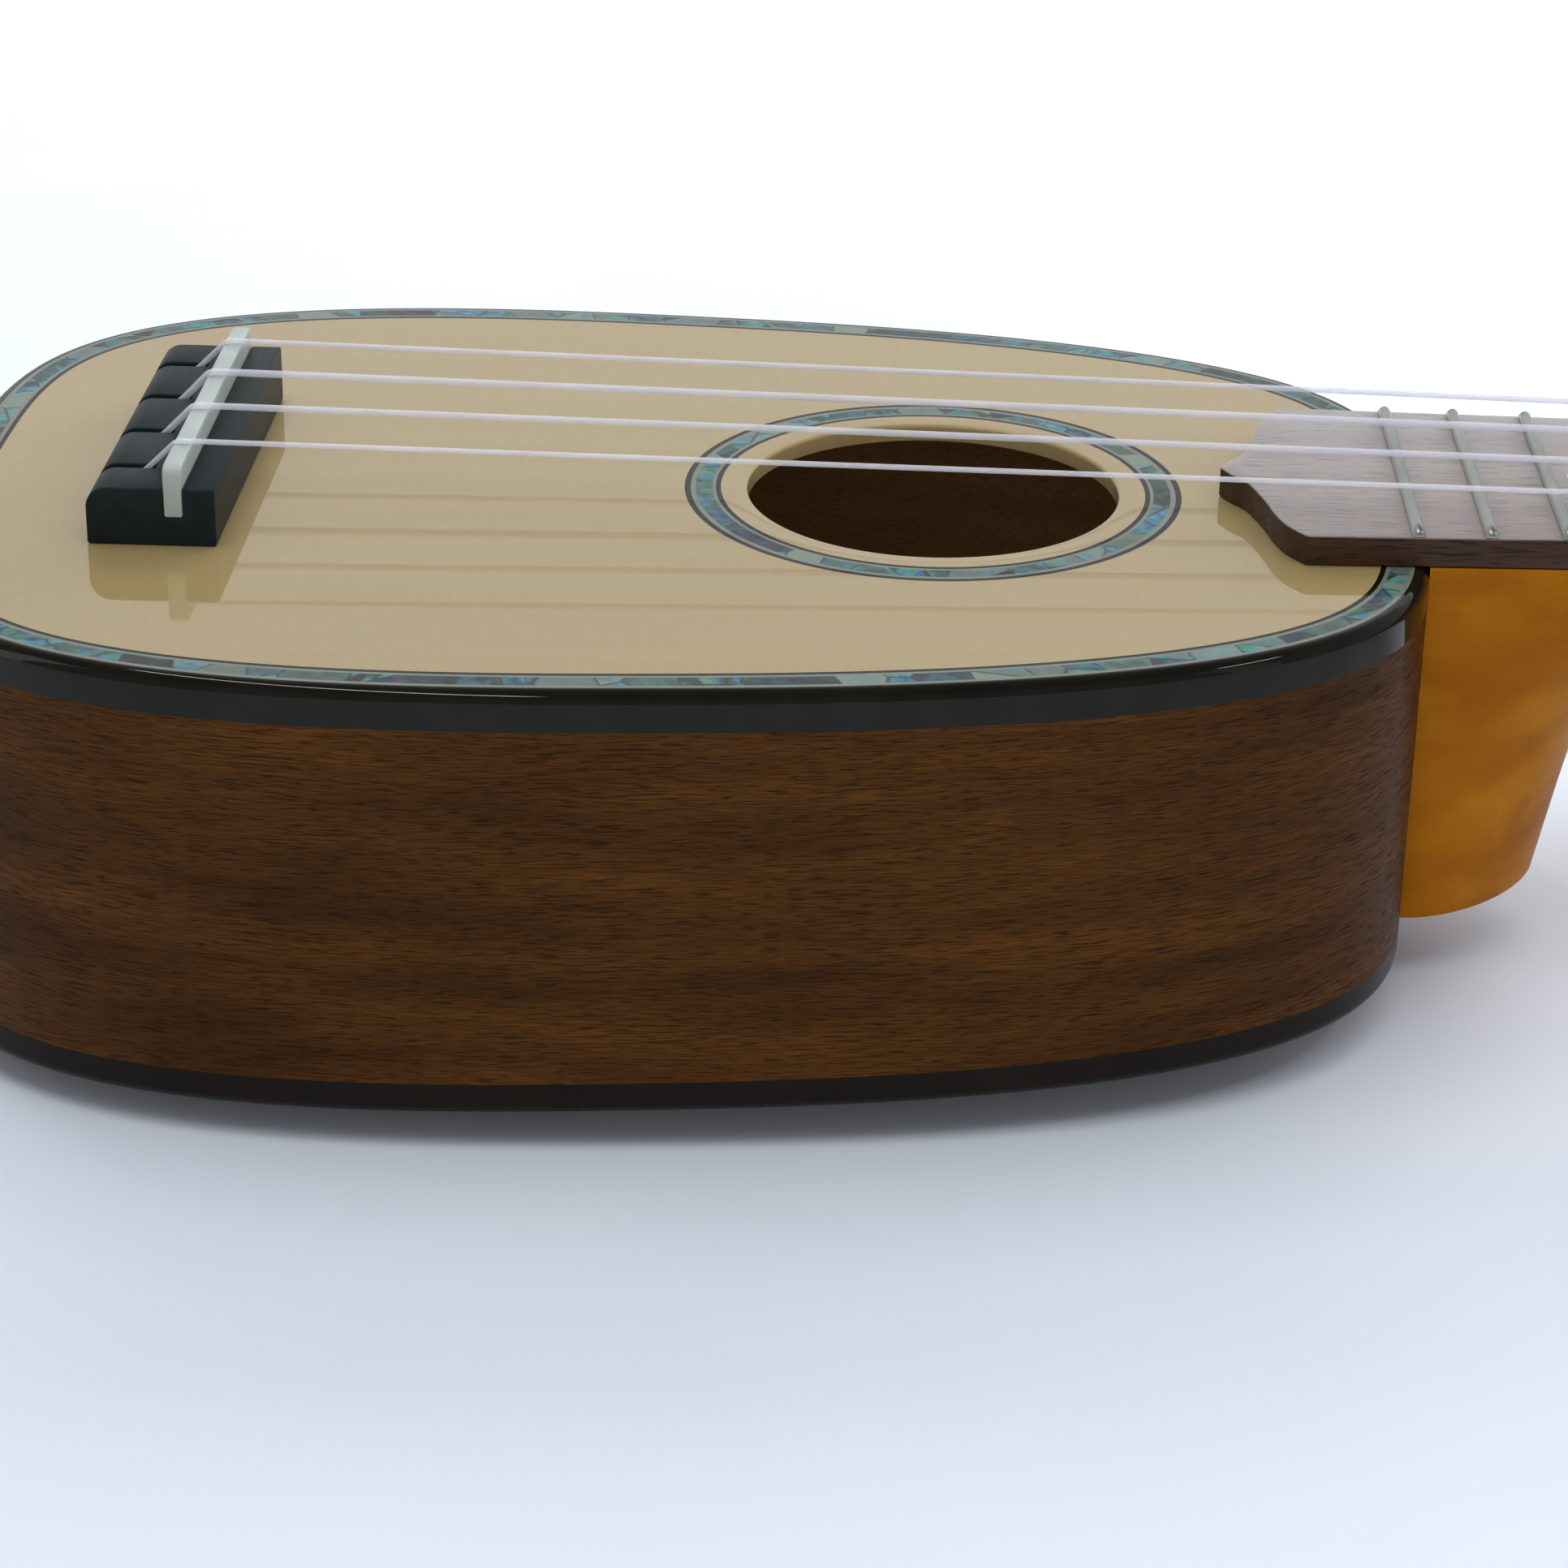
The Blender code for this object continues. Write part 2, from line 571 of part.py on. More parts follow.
def build_fretboard(shop):
    """Make the fretboard, its frets and the nut."""
    bass = carved_end() + [(NUT_X - FINE_GAP, BOARD_HALF_WIDTH_NUT)]
    treble = [(x, -y) for x, y in bass[:0:-1]]
    low = TOP_HEIGHT + FINE_GAP
    high = TOP_HEIGHT + BOARD_THICKNESS
    rows = [flat_row(bass + treble, low), flat_row(bass + treble, high)]
    shop.add("fretboard", skin(rows, wrap_rows=False, wrap_points=True), "rosewood")

    for number in range(1, FRET_COUNT + 1):
        x = fret_x(number)
        seat = high + FINE_GAP
        crown = [(x + FRET_WIDTH / 2.0 * math.cos(a), seat + FRET_HEIGHT * math.sin(a))
                 for a in [math.pi * k / 6.0 for k in range(7)]]
        bar = bar_across(crown, board_half_width(x) - FINE_GAP)
        shop.add("fret_%02d" % number, bar, "fret_metal")

    back = NUT_X + NUT_THICKNESS
    profile = [(NUT_X, low), (back, low), (back, TOP_HEIGHT + NUT_HEIGHT - 0.0012),
               (NUT_X + 0.0012, TOP_HEIGHT + NUT_HEIGHT), (NUT_X, TOP_HEIGHT + NUT_HEIGHT)]
    nut = shop.add("nut", bar_across(profile, BOARD_HALF_WIDTH_NUT), "bone")
    for number in range(1, 5):
        y = string_y(number, at_nut=True)
        half = STRING_DIAMETERS[number - 1] / 2.0 + 1.5 * FINE_GAP
        floor = TOP_HEIGHT + STRING_HEIGHT_NUT - half - 0.0006
        notch = box((NUT_X - 0.001, y - half, floor),
                    (back + 0.001, y + half, TOP_HEIGHT + 0.009))
        cut(nut, shop.add_cutter("nut_notch_%d" % number, notch))


# ---------------------------------------------------------------- neck, heel and headstock
def head_half_width(from_nut):
    """Return half the headstock's width at a distance behind the nut, seen from above."""
    shape = ((0.0, 0.0176), (0.004, 0.0180), (0.008, 0.0194), (0.012, 0.0210), (0.016, 0.0221),
             (0.022, 0.0229), (0.060, 0.0240), (0.095, 0.0245), (0.100, 0.0236), (0.104, 0.0209),
             (0.1062, 0.0165), (0.1075, 0.0100))
    places = [place for place, _ in shape]
    widths = [width for _, width in shape]
    return float(np.interp(from_nut, places, widths))


def head_drop(x):
    """Return how far the headstock's face has fallen below the soundboard's level."""
    return max(0.0, x - HEAD_START_X) * math.tan(HEAD_RAKE)


def neck_half_width(x, drop):
    """Return half the neck's width at a place along it and a depth below its face.

    The neck's own section is a full oval. Near the body the heel stands out below it: at each
    depth the heel's plan is half an oval, and its reach grows towards the neck.
    """
    top = board_half_width(x)
    share = (x - NECK_START_X) / (NUT_X - NECK_START_X)
    depth = NECK_DEPTH_BODY + (NECK_DEPTH_NUT - NECK_DEPTH_BODY) * share
    shaft = 0.0
    if drop < depth:
        shaft = top * (1.0 - (drop / depth) ** 2.6) ** (1.0 / 2.2)
    from_foot = (HEEL_DEPTH - drop) / HEEL_DEPTH
    reach = HEEL_REACH + HEEL_LEAN * from_foot + HEEL_SWEEP * from_foot ** HEEL_SWEEP_POWER
    width = HEEL_HALF_WIDTH + (top - HEEL_HALF_WIDTH) * min(1.0, from_foot * 1.25) ** 0.8
    along = max(0.0, x - NECK_START_X) / reach
    heel = 0.0
    if along < 1.0:
        heel = width * (1.0 - along ** HEEL_PLAN_POWER) ** HEEL_PLAN_ROOT
    return max(shaft, heel)


def neck_depth(x):
    """Return how deep the neck is at a place along it, by halving until the width vanishes."""
    if neck_half_width(x, HEEL_DEPTH) > 0.0:
        return HEEL_DEPTH
    shallow = 0.0
    deep = HEEL_DEPTH
    for _ in range(40):
        middle = (shallow + deep) / 2.0
        if neck_half_width(x, middle) > 0.0:
            shallow = middle
        else:
            deep = middle
    return shallow


def neck_section(x, levels):
    """Return one closed section of the neck shaft, from its treble edge down and round."""
    depth = neck_depth(x)
    drops = [depth * math.sin(math.pi / 2.0 * k / levels) for k in range(levels + 1)]
    treble = [(x, -neck_half_width(x, drop), TOP_HEIGHT - drop) for drop in drops]
    foot = max(neck_half_width(x, depth), 0.0006)
    treble[-1] = (x, -foot, TOP_HEIGHT - depth)
    bass = [(px, -py, pz) for px, py, pz in treble[::-1]]
    return treble + bass


def head_section(x, levels):
    """Return one closed section of the headstock with as many points as a neck section."""
    half = head_half_width(x - HEAD_START_X)
    face = TOP_HEIGHT - head_drop(x)
    thickness = HEAD_THICKNESS / math.cos(HEAD_RAKE)
    round_off = 0.0008
    treble = []
    for k in range(levels + 1):
        share = k / levels
        inset = round_off * max(0.0, share * levels - levels + 1.0)
        treble.append((x, -(half - inset), face - thickness * share))
    bass = [(px, -py, pz) for px, py, pz in treble[::-1]]
    return treble + bass


def head_frame():
    """Return the matrix of the headstock's face: X along it, Y to the bass side, Z out of it."""
    turn = Matrix.Rotation(HEAD_RAKE, 4, "Y")
    return Matrix.Translation((HEAD_START_X, 0.0, TOP_HEIGHT)) @ turn


def post_places():
    """Return (number, along the face, across it) for the four string posts."""
    near, far = POST_FROM_NUT
    return ((1, near, -POST_FROM_CENTRE), (2, far, -POST_FROM_CENTRE),
            (3, far, POST_FROM_CENTRE), (4, near, POST_FROM_CENTRE))


def build_neck(shop):
    """Make the neck with its heel and headstock, and the veneer on the headstock's face."""
    levels = 9
    from_body = (-0.0040, 0.0, 0.0045, 0.0090, 0.0125, 0.0150, 0.0164, 0.0174, 0.0184, 0.0196, 0.0215,
                 0.0245, 0.0290, 0.0350, 0.0450, 0.0800, 0.1200)
    rows = [neck_section(NECK_START_X + step, levels) for step in from_body]
    from_nut = (0.0040, 0.0080, 0.0120, 0.0160, 0.0220, 0.0600, 0.0950, 0.1000, 0.1040,
                0.1062, 0.1075)
    head_end = TAIL_X + OVERALL_LENGTH
    stretch = (head_end - HEAD_START_X) / 0.1075
    neck_end = neck_section(HEAD_START_X - GAP, levels)
    rows.append(neck_end)
    rows += [head_section(HEAD_START_X + step * min(stretch, 1.0), levels) for step in from_nut]
    neck = shop.add("neck", skin(rows, wrap_rows=False, wrap_points=True), "amber_mahogany", 40.0)

    places = (0.0008, 0.0040, 0.0080, 0.0120, 0.0160, 0.0220, 0.0600, 0.0950, 0.1000, 0.1040,
              0.1060)
    bass = [(place / math.cos(HEAD_RAKE), head_half_width(place) - 0.0002) for place in places]
    plan = bass + [(x, -y) for x, y in bass[::-1]]
    rows = [[(x, y, z) for x, y in plan] for z in (FINE_GAP, FINE_GAP + VENEER_THICKNESS)]
    veneer = shop.add("headstock_veneer", skin(rows, wrap_rows=False, wrap_points=True),
                      "rosewood", place=head_frame())
    block = [flat_row(outline(-GAP), TOP_HEIGHT + z) for z in (-0.060, 0.010)]
    cut(neck, shop.add_cutter("body_shape", skin(block, wrap_rows=False, wrap_points=True)))
    for number, along, across in post_places():
        hole = cylinder(POST_RADIUS + GAP, -0.020, 0.010)
        tool = shop.add_cutter("post_hole_%d" % number, hole,
                               head_frame() @ Matrix.Translation((along, across, 0.0)))
        cut(neck, tool)
        cut(veneer, tool)


# ---------------------------------------------------------------- tuners
def worm_rows():
    """Return the rows of the worm and its shaft about Z, with the button's end towards +Z.

    The thread is a ridge whose place along the axis advances by one lead in each turn.
    """
    columns = 12
    ear_outside = EAR_OFFSET + EAR_THICKNESS
    shaft_end = BUTTON_CENTRE - POST_FROM_CENTRE - 0.0010
    steps = 24

    def plain(z, radius):
        return [(radius * math.cos(2.0 * math.pi * k / columns),
                 radius * math.sin(2.0 * math.pi * k / columns), z) for k in range(columns)]

    def threaded(z):
        row = []
        for k in range(columns):
            phase = (z / WORM_LEAD - k / columns) % 1.0
            from_ridge = min(phase, 1.0 - phase)
            share = min(1.0, max(0.0, (0.26 - from_ridge) / 0.14))
            radius = WORM_ROOT_RADIUS + (WORM_TIP_RADIUS - WORM_ROOT_RADIUS) * share
            angle = 2.0 * math.pi * k / columns
            row.append((radius * math.cos(angle), radius * math.sin(angle), z))
        return row

    rows = [plain(-ear_outside - 0.0006, WORM_SHAFT_RADIUS),
            plain(-WORM_HALF_LENGTH - 0.0002, WORM_SHAFT_RADIUS)]
    rows += [threaded(WORM_HALF_LENGTH * (2.0 * k / steps - 1.0)) for k in range(steps + 1)]
    rows += [plain(WORM_HALF_LENGTH + 0.0002, WORM_SHAFT_RADIUS),
             plain(shaft_end, WORM_SHAFT_RADIUS)]
    return rows


def gear_plan():
    """Return the toothed outline of the gear wheel, with a tooth centred on +X."""
    plan = []
    pitch = 2.0 * math.pi / GEAR_TEETH
    for tooth in range(GEAR_TEETH):
        middle = tooth * pitch
        for radius, offset in ((GEAR_ROOT_RADIUS, -0.24), (GEAR_TIP_RADIUS, -0.13),
                               (GEAR_TIP_RADIUS, 0.13), (GEAR_ROOT_RADIUS, 0.24)):
            angle = middle + offset * pitch
            plan.append((radius * math.cos(angle), radius * math.sin(angle)))
    return plan


def build_tuner(shop, number, along, across):
    """Make one open-geared tuner: plate, worm shaft, button, string post and gear wheel."""
    side = math.copysign(1.0, across)
    at_post = head_frame() @ Matrix.Translation((along, across, 0.0))
    at_worm = at_post @ Matrix.Translation((WORM_AXIS_OFFSET, 0.0, WORM_AXIS_DEPTH))

    plate = shop.add("tuner_plate_%d" % number,
                     box((-0.0072, -0.0061, PLATE_BOTTOM), (0.0125, 0.0061, PLATE_TOP)),
                     "nickel", place=at_post)
    for edge in (-1.0, 1.0):
        near = edge * EAR_OFFSET
        far = edge * (EAR_OFFSET + EAR_THICKNESS)
        ear = box((WORM_AXIS_OFFSET - 0.0030, min(near, far), EAR_BOTTOM),
                  (WORM_AXIS_OFFSET + 0.0030, max(near, far), PLATE_TOP - 0.0002))
        tool = shop.add_cutter("ear_%d_%s" % (number, "in" if edge * side < 0 else "out"),
                               ear, at_post)
        weld = plate.modifiers.new(tool.name, "BOOLEAN")
        weld.operation = "UNION"
        weld.object = tool
    hole = shop.add_cutter("spindle_hole_%d" % number,
                           cylinder(SPINDLE_RADIUS + GAP, -0.014, -0.008), at_post)
    cut(plate, hole)
    about_y = Matrix.Rotation(-side * math.pi / 2.0, 4, "X")
    bearing = shop.add_cutter("worm_bearing_%d" % number,
                              cylinder(WORM_SHAFT_RADIUS + GAP, -0.008, 0.008), at_worm @ about_y)
    cut(plate, bearing)

    rows = worm_rows()
    shop.add("worm_shaft_%d" % number, skin(rows, wrap_rows=False, wrap_points=True),
             "nickel", place=at_worm @ about_y)

    ball = bmesh.new()
    bmesh.ops.create_uvsphere(ball, u_segments=16, v_segments=8, radius=1.0)
    bmesh.ops.scale(ball, vec=BUTTON_SIZE, verts=ball.verts)
    offset = side * (BUTTON_CENTRE - POST_FROM_CENTRE)
    bmesh.ops.translate(ball, vec=(0.0, offset, 0.0), verts=ball.verts)
    button = shop.add("button_%d" % number, ball, "pearl_plastic", place=at_worm)
    socket_end = BUTTON_CENTRE - POST_FROM_CENTRE - 0.0010 + GAP
    socket = shop.add_cutter("button_socket_%d" % number,
                             cylinder(WORM_SHAFT_RADIUS + GAP, 0.004, socket_end, 12),
                             at_worm @ about_y)
    cut(button, socket)

    groove = (0.0043, 0.0049, 0.0086, 0.0094)
    profile = [(SPINDLE_RADIUS, GEAR_BOTTOM - 0.0006), (SPINDLE_RADIUS, PLATE_TOP + GAP),
               (POST_RADIUS, PLATE_TOP + GAP), (POST_RADIUS, groove[0]),
               (POST_GROOVE_RADIUS, groove[1]), (POST_GROOVE_RADIUS, groove[2]),
               (POST_RADIUS, groove[3]), (POST_RADIUS, POST_HEIGHT - 0.0005),
               (POST_RADIUS - 0.0005, POST_HEIGHT)]
    shop.add("string_post_%d" % number, turned(profile), "nickel", place=at_post)

    plan = gear_plan()
    rows = [[(x, y, z) for x, y in plan] for z in (GEAR_BOTTOM, GEAR_TOP)]
    gear = shop.add("gear_%d" % number, skin(rows, wrap_rows=False, wrap_points=True),
                    "brass", place=at_post)
    bore = shop.add_cutter("gear_bore_%d" % number,
                           cylinder(SPINDLE_RADIUS + GAP, -0.017, -0.010), at_post)
    cut(gear, bore)


# ---------------------------------------------------------------- strings
def string_route(number):
    """Return a string's centreline: knot, saddle, nut, and its turns round the post."""
    radius = STRING_DIAMETERS[number - 1] / 2.0
    y_saddle = string_y(number, at_nut=False)
    y_nut = string_y(number, at_nut=True)
    over_saddle = TOP_HEIGHT + SADDLE_TOP + FINE_GAP + radius
    over_nut = TOP_HEIGHT + STRING_HEIGHT_NUT
    back = NUT_X + NUT_THICKNESS
    route = [Vector((SADDLE_LINE_X - 0.0102, y_saddle, TOP_HEIGHT + 0.0034)),
             Vector((SADDLE_LINE_X - 0.0078, y_saddle, TOP_HEIGHT + 0.0048)),
             Vector((SADDLE_LINE_X - 0.0055, y_saddle, TOP_HEIGHT + BRIDGE_HEIGHT)),
             Vector((SADDLE_LINE_X + SADDLE_CENTRE - 0.0010, y_saddle, over_saddle - 0.0002)),
             Vector((SADDLE_LINE_X + SADDLE_CENTRE, y_saddle, over_saddle)),
             Vector((NUT_X + 0.0005, y_nut, over_nut)),
             Vector((back, y_nut, over_nut - 0.0004))]
    _, along, across = post_places()[number - 1]
    frame = head_frame()
    start = frame.inverted() @ route[-1]
    side = math.copysign(1.0, across)
    coil = POST_GROOVE_RADIUS + radius + 1.5 * FINE_GAP
    away = Vector((start.x - along, start.y - across))
    touch = math.atan2(away.y, away.x) + side * math.acos(coil / away.length)
    drop = STRING_DIAMETERS[number - 1] + FINE_GAP
    turn_steps = 12
    for k in range(int(2.25 * turn_steps) + 1):
        angle = touch + side * 2.0 * math.pi * k / turn_steps
        height = 0.0080 - drop * k / turn_steps
        route.append(frame @ Vector((along + coil * math.cos(angle),
                                     across + coil * math.sin(angle), height)))
    return route


def build_strings(shop):
    """Make the four nylon strings as round wires along their routes."""
    for number in range(1, 5):
        name = "string_%d" % number
        curve = bpy.data.curves.new(name, "CURVE")
        curve.dimensions = "3D"
        curve.bevel_depth = STRING_DIAMETERS[number - 1] / 2.0
        curve.bevel_resolution = 2
        curve.use_fill_caps = True
        route = string_route(number)
        spline = curve.splines.new("POLY")
        spline.points.add(len(route) - 1)
        for point, place in zip(spline.points, route):
            point.co = (*place, 1.0)
        curve.materials.append(shop.finishes["nylon"])
        shop.parts.objects.link(bpy.data.objects.new(name, curve))


def main():
    """Build every piece of the ukulele."""
    clear_scene()
    shop = Shop()
    build_plates(shop)
    build_rim(shop)
    build_blocks(shop)
    build_braces(shop)
    build_bridge(shop)
    build_fretboard(shop)
    build_neck(shop)
    for number, along, across in post_places():
        build_tuner(shop, number, along, across)
    build_strings(shop)


main()
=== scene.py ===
"""Looks of a small oval-bodied ukulele: glossy spruce top, shell inlay, dark mahogany sides.

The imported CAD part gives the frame. Pieces whose outline or edges need to be finer than the CAD
solids are rebuilt here from the same sizes; the rest are dressed where they stand.
"""
import logging
import math
from dataclasses import dataclass, field
from enum import Enum
from typing import Callable, Sequence

import bmesh
import bpy
import numpy as np
from mathutils import Matrix, Vector


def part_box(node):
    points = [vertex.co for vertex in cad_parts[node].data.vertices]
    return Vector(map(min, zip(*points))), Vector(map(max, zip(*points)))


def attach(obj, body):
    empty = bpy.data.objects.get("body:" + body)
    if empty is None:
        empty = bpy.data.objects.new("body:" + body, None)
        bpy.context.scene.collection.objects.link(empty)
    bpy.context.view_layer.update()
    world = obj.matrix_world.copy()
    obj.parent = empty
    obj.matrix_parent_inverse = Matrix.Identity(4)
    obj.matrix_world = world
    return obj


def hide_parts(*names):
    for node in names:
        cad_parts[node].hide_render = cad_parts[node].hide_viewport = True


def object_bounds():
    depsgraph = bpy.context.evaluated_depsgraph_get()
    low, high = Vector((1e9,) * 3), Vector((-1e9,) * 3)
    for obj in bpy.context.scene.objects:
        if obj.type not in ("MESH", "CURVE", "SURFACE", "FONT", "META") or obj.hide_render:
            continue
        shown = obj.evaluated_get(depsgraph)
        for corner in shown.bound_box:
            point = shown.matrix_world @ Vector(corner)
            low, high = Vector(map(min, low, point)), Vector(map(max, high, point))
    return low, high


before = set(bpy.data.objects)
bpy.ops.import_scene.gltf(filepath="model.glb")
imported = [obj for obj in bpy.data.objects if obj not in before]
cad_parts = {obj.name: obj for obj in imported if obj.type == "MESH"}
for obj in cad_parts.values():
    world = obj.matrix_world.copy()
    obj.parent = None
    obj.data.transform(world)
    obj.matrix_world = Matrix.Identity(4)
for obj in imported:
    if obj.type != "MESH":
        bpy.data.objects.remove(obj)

LOG = logging.getLogger("ukulele")
MM = 0.001
Point = tuple[float, float, float]
Row = Sequence[Point]
FaceTest = Callable[[bpy.types.MeshPolygon], bool]
Tree = bpy.types.NodeTree
Node = bpy.types.Node
Socket = bpy.types.NodeSocket
Solid = bmesh.types.BMesh
Profile = Sequence[tuple[float, float]]
CAD_BOX = [list(corner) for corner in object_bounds()]
ROOT = "instrument"
GLUE_GAP = 0.0001      # between pieces that are glued or bear on each other
OVERSHOOT = 0.001      # how far a cutter runs past what it cuts
FULL_TURN = 2.0 * math.pi


# ---------------------------------------------------------------- node and colour tools
def linear(colour: str) -> tuple[float, float, float, float]:
    """Turn an sRGB hex colour into the linear values that the shader works in.

    Args:
        colour: six hex digits after a #.

    Returns:
        Red, green, blue and a full alpha.
    """
    values = [int(colour[i:i + 2], 16) / 255.0 for i in (1, 3, 5)]
    red, green, blue = (v / 12.92 if v <= 0.04045 else ((v + 0.055) / 1.055) ** 2.4
                        for v in values)
    return (red, green, blue, 1.0)


def add_node(tree: Tree, kind: str, inputs: dict | None = None, **settings: object) -> Node:
    """Add a node with its settings and links.

    Args:
        tree: the node tree it goes into.
        kind: the node's type without the ShaderNode prefix.
        inputs: for each input, by name or number, a socket to link or a value to set.
        settings: the node's own properties; `stops` sets a colour ramp's stops.

    Returns:
        The new node.
    """
    node = tree.nodes.new("ShaderNode" + kind)
    stops = settings.pop("stops", None)
    for key, value in settings.items():
        setattr(node, key, value)
    if stops is not None:
        ramp = node.color_ramp
        while len(ramp.elements) < len(stops):
            ramp.elements.new(0.5)
        for element, (place, colour) in zip(ramp.elements, stops):
            element.position = place
            element.color = linear(colour)
    for key, value in (inputs or {}).items():
        if isinstance(value, Socket):
            tree.links.new(value, node.inputs[key])
        else:
            node.inputs[key].default_value = value
    return node


class Follow(Enum):
    """What a finish's pattern is laid out along."""

    OBJECT = "Object"
    RUN = "run"


@dataclass(frozen=True)
class Finish:
    """A finish: a name, the record's slot it belongs to, and the shader's own numbers."""

    name: str
    slot: str
    roughness: float = 0.4
    metallic: float = 0.0
    ior: float = 1.5
    coat: float = 0.0
    coat_roughness: float = 0.05
    specular: float = 0.5
    sheen: float = 0.0
    sheen_roughness: float = 0.4
    alpha: float = 1.0

    def build(self) -> bpy.types.Material:
        """Make the material.

        Returns:
            The material, with the pattern that `paint` draws.
        """
        material = bpy.data.materials.new(self.name)
        material.use_nodes = True
        tree = material.node_tree
        shader = tree.nodes["Principled BSDF"]
        values = {"Roughness": self.roughness, "Metallic": self.metallic, "IOR": self.ior,
                  "Coat Weight": self.coat, "Coat Roughness": self.coat_roughness,
                  "Specular IOR Level": self.specular, "Sheen Weight": self.sheen,
                  "Sheen Roughness": self.sheen_roughness, "Alpha": self.alpha}
        for socket, value in values.items():
            shader.inputs[socket].default_value = value
        self.paint(tree, shader)
        return material

    def paint(self, tree: Tree, shader: Node) -> None:
        """Draw the pattern into the shader; each finish has its own."""
        raise NotImplementedError

    def place(self, tree: Tree, follow: Follow, size_mm: Point) -> Socket:
        """Give coordinates in which one unit is the stated size in millimetres.

        Args:
            tree: the material's tree.
            follow: whether the pattern follows the object's axes or its run and girth.
            size_mm: the pattern's size along each axis.

        Returns:
            The socket that holds the coordinates.
        """
        if follow is Follow.RUN:
            source = add_node(tree, "Attribute", attribute_name="run").outputs["Vector"]
        else:
            source = add_node(tree, "TexCoord").outputs["Object"]
        scale = tuple(1.0 / (MM * s) for s in size_mm)
        return add_node(tree, "Mapping", {"Vector": source, "Scale": scale}).outputs[0]

    def speckle(self, tree: Tree, where: Socket, low: float,
                high: float, detail: float = 2.0) -> Socket:
        """Give a noise of unit scale whose values from `low` to `high` are spread over 0 to 1.

        Args:
            tree: the material's tree.
            where: the coordinates.
            low: the noise value that becomes 0.
            high: the noise value that becomes 1.
            detail: how many finer layers the noise has.

        Returns:
            The socket that holds the spread value.
        """
        noise = add_node(tree, "TexNoise", {"Vector": where, "Scale": 1.0, "Detail": detail})
        spread = add_node(tree, "MapRange", {"Value": noise.outputs["Fac"], "From Min": low,
                                             "From Max": high}, clamp=True)
        return spread.outputs["Result"]

    def grain(self, tree: Tree, size_mm: Point, low: float, high: float,
              detail: float = 2.0, follow: Follow = Follow.OBJECT) -> Socket:
        """Give `speckle` at a real size, along the object's axes or its run."""
        return self.speckle(tree, self.place(tree, follow, size_mm), low, high, detail)

    def part_of(self, tree: Tree, value: Socket, share: float) -> Socket:
        """Give a value times a share."""
        return add_node(tree, "Math", {0: value, 1: share}, operation="MULTIPLY").outputs[0]

    def emboss(self, tree: Tree, shader: Node,
               height: Socket, strength: float, depth_mm: float) -> None:
        """Turn a height into relief of the stated depth."""
        bump = add_node(tree, "Bump", {"Height": height, "Strength": strength,
                                       "Distance": depth_mm * MM})
        tree.links.new(bump.outputs["Normal"], shader.inputs["Normal"])

    def blend(self, tree: Tree, share: Socket, first: object, second: object) -> Socket:
        """Blend two colours, each a hex string or a socket.

        Args:
            tree: the material's tree.
            share: how much of the second.
            first: the colour underneath.
            second: the colour on top.

        Returns:
            The blended colour's socket.
        """
        pair = [linear(c) if isinstance(c, str) else c for c in (first, second)]
        mixed = add_node(tree, "Mix", {0: share, 6: pair[0], 7: pair[1]}, data_type="RGBA")
        return mixed.outputs[2]


@dataclass(frozen=True)
class Wood(Finish):
    """Sawn and sanded timber under oil, stain or lacquer.

    Fibres and pores run along one axis, so every pattern is drawn long that way. The broad figure
    comes from how the board was sawn, and the pores are what the eye reads as grain.
    """

    pale: str = "#a07040"
    dark: str = "#805030"
    pore: str = "#301808"
    figure_mm: Point = (70.0, 70.0, 6.0)
    fibre_mm: Point = (9.0, 9.0, 0.35)
    pore_mm: Point = (5.0, 5.0, 0.30)
    pore_from: float = 0.56
    pore_share: float = 0.6
    fibre_share: float = 0.35
    relief_mm: float = 0.03
    pore_roughness: float = 0.25
    blotch: str = ""
    blotch_share: float = 0.55
    blotch_mm: Point = (14.0, 14.0, 9.0)

    def paint(self, tree: Tree, shader: Node) -> None:
        """Draw figure, fibres and pores into colour, roughness and relief."""
        figure = self.grain(tree, self.figure_mm, 0.32, 0.68, 3.0)
        fibre = self.grain(tree, self.fibre_mm, 0.30, 0.70, 4.0)
        pores = self.grain(tree, self.pore_mm, self.pore_from, self.pore_from + 0.10, 1.0)
        colour = self.blend(tree, figure, self.pale, self.dark)
        if self.blotch:
            patch = self.grain(tree, self.blotch_mm, 0.45, 0.75)
            colour = self.blend(tree, self.part_of(tree, patch, self.blotch_share), colour,
                                self.blotch)
        colour = self.blend(tree, self.part_of(tree, fibre, self.fibre_share), colour, self.dark)
        colour = self.blend(tree, self.part_of(tree, pores, self.pore_share), colour, self.pore)
        tree.links.new(colour, shader.inputs["Base Color"])
        rough = add_node(tree, "MapRange", {
            "Value": pores, "To Min": self.roughness,
            "To Max": min(1.0, self.roughness + self.pore_roughness)})
        tree.links.new(rough.outputs["Result"], shader.inputs["Roughness"])
        height = add_node(tree, "Math", {0: fibre, 1: pores}, operation="SUBTRACT").outputs[0]
        self.emboss(tree, shader, height, 0.5, self.relief_mm)


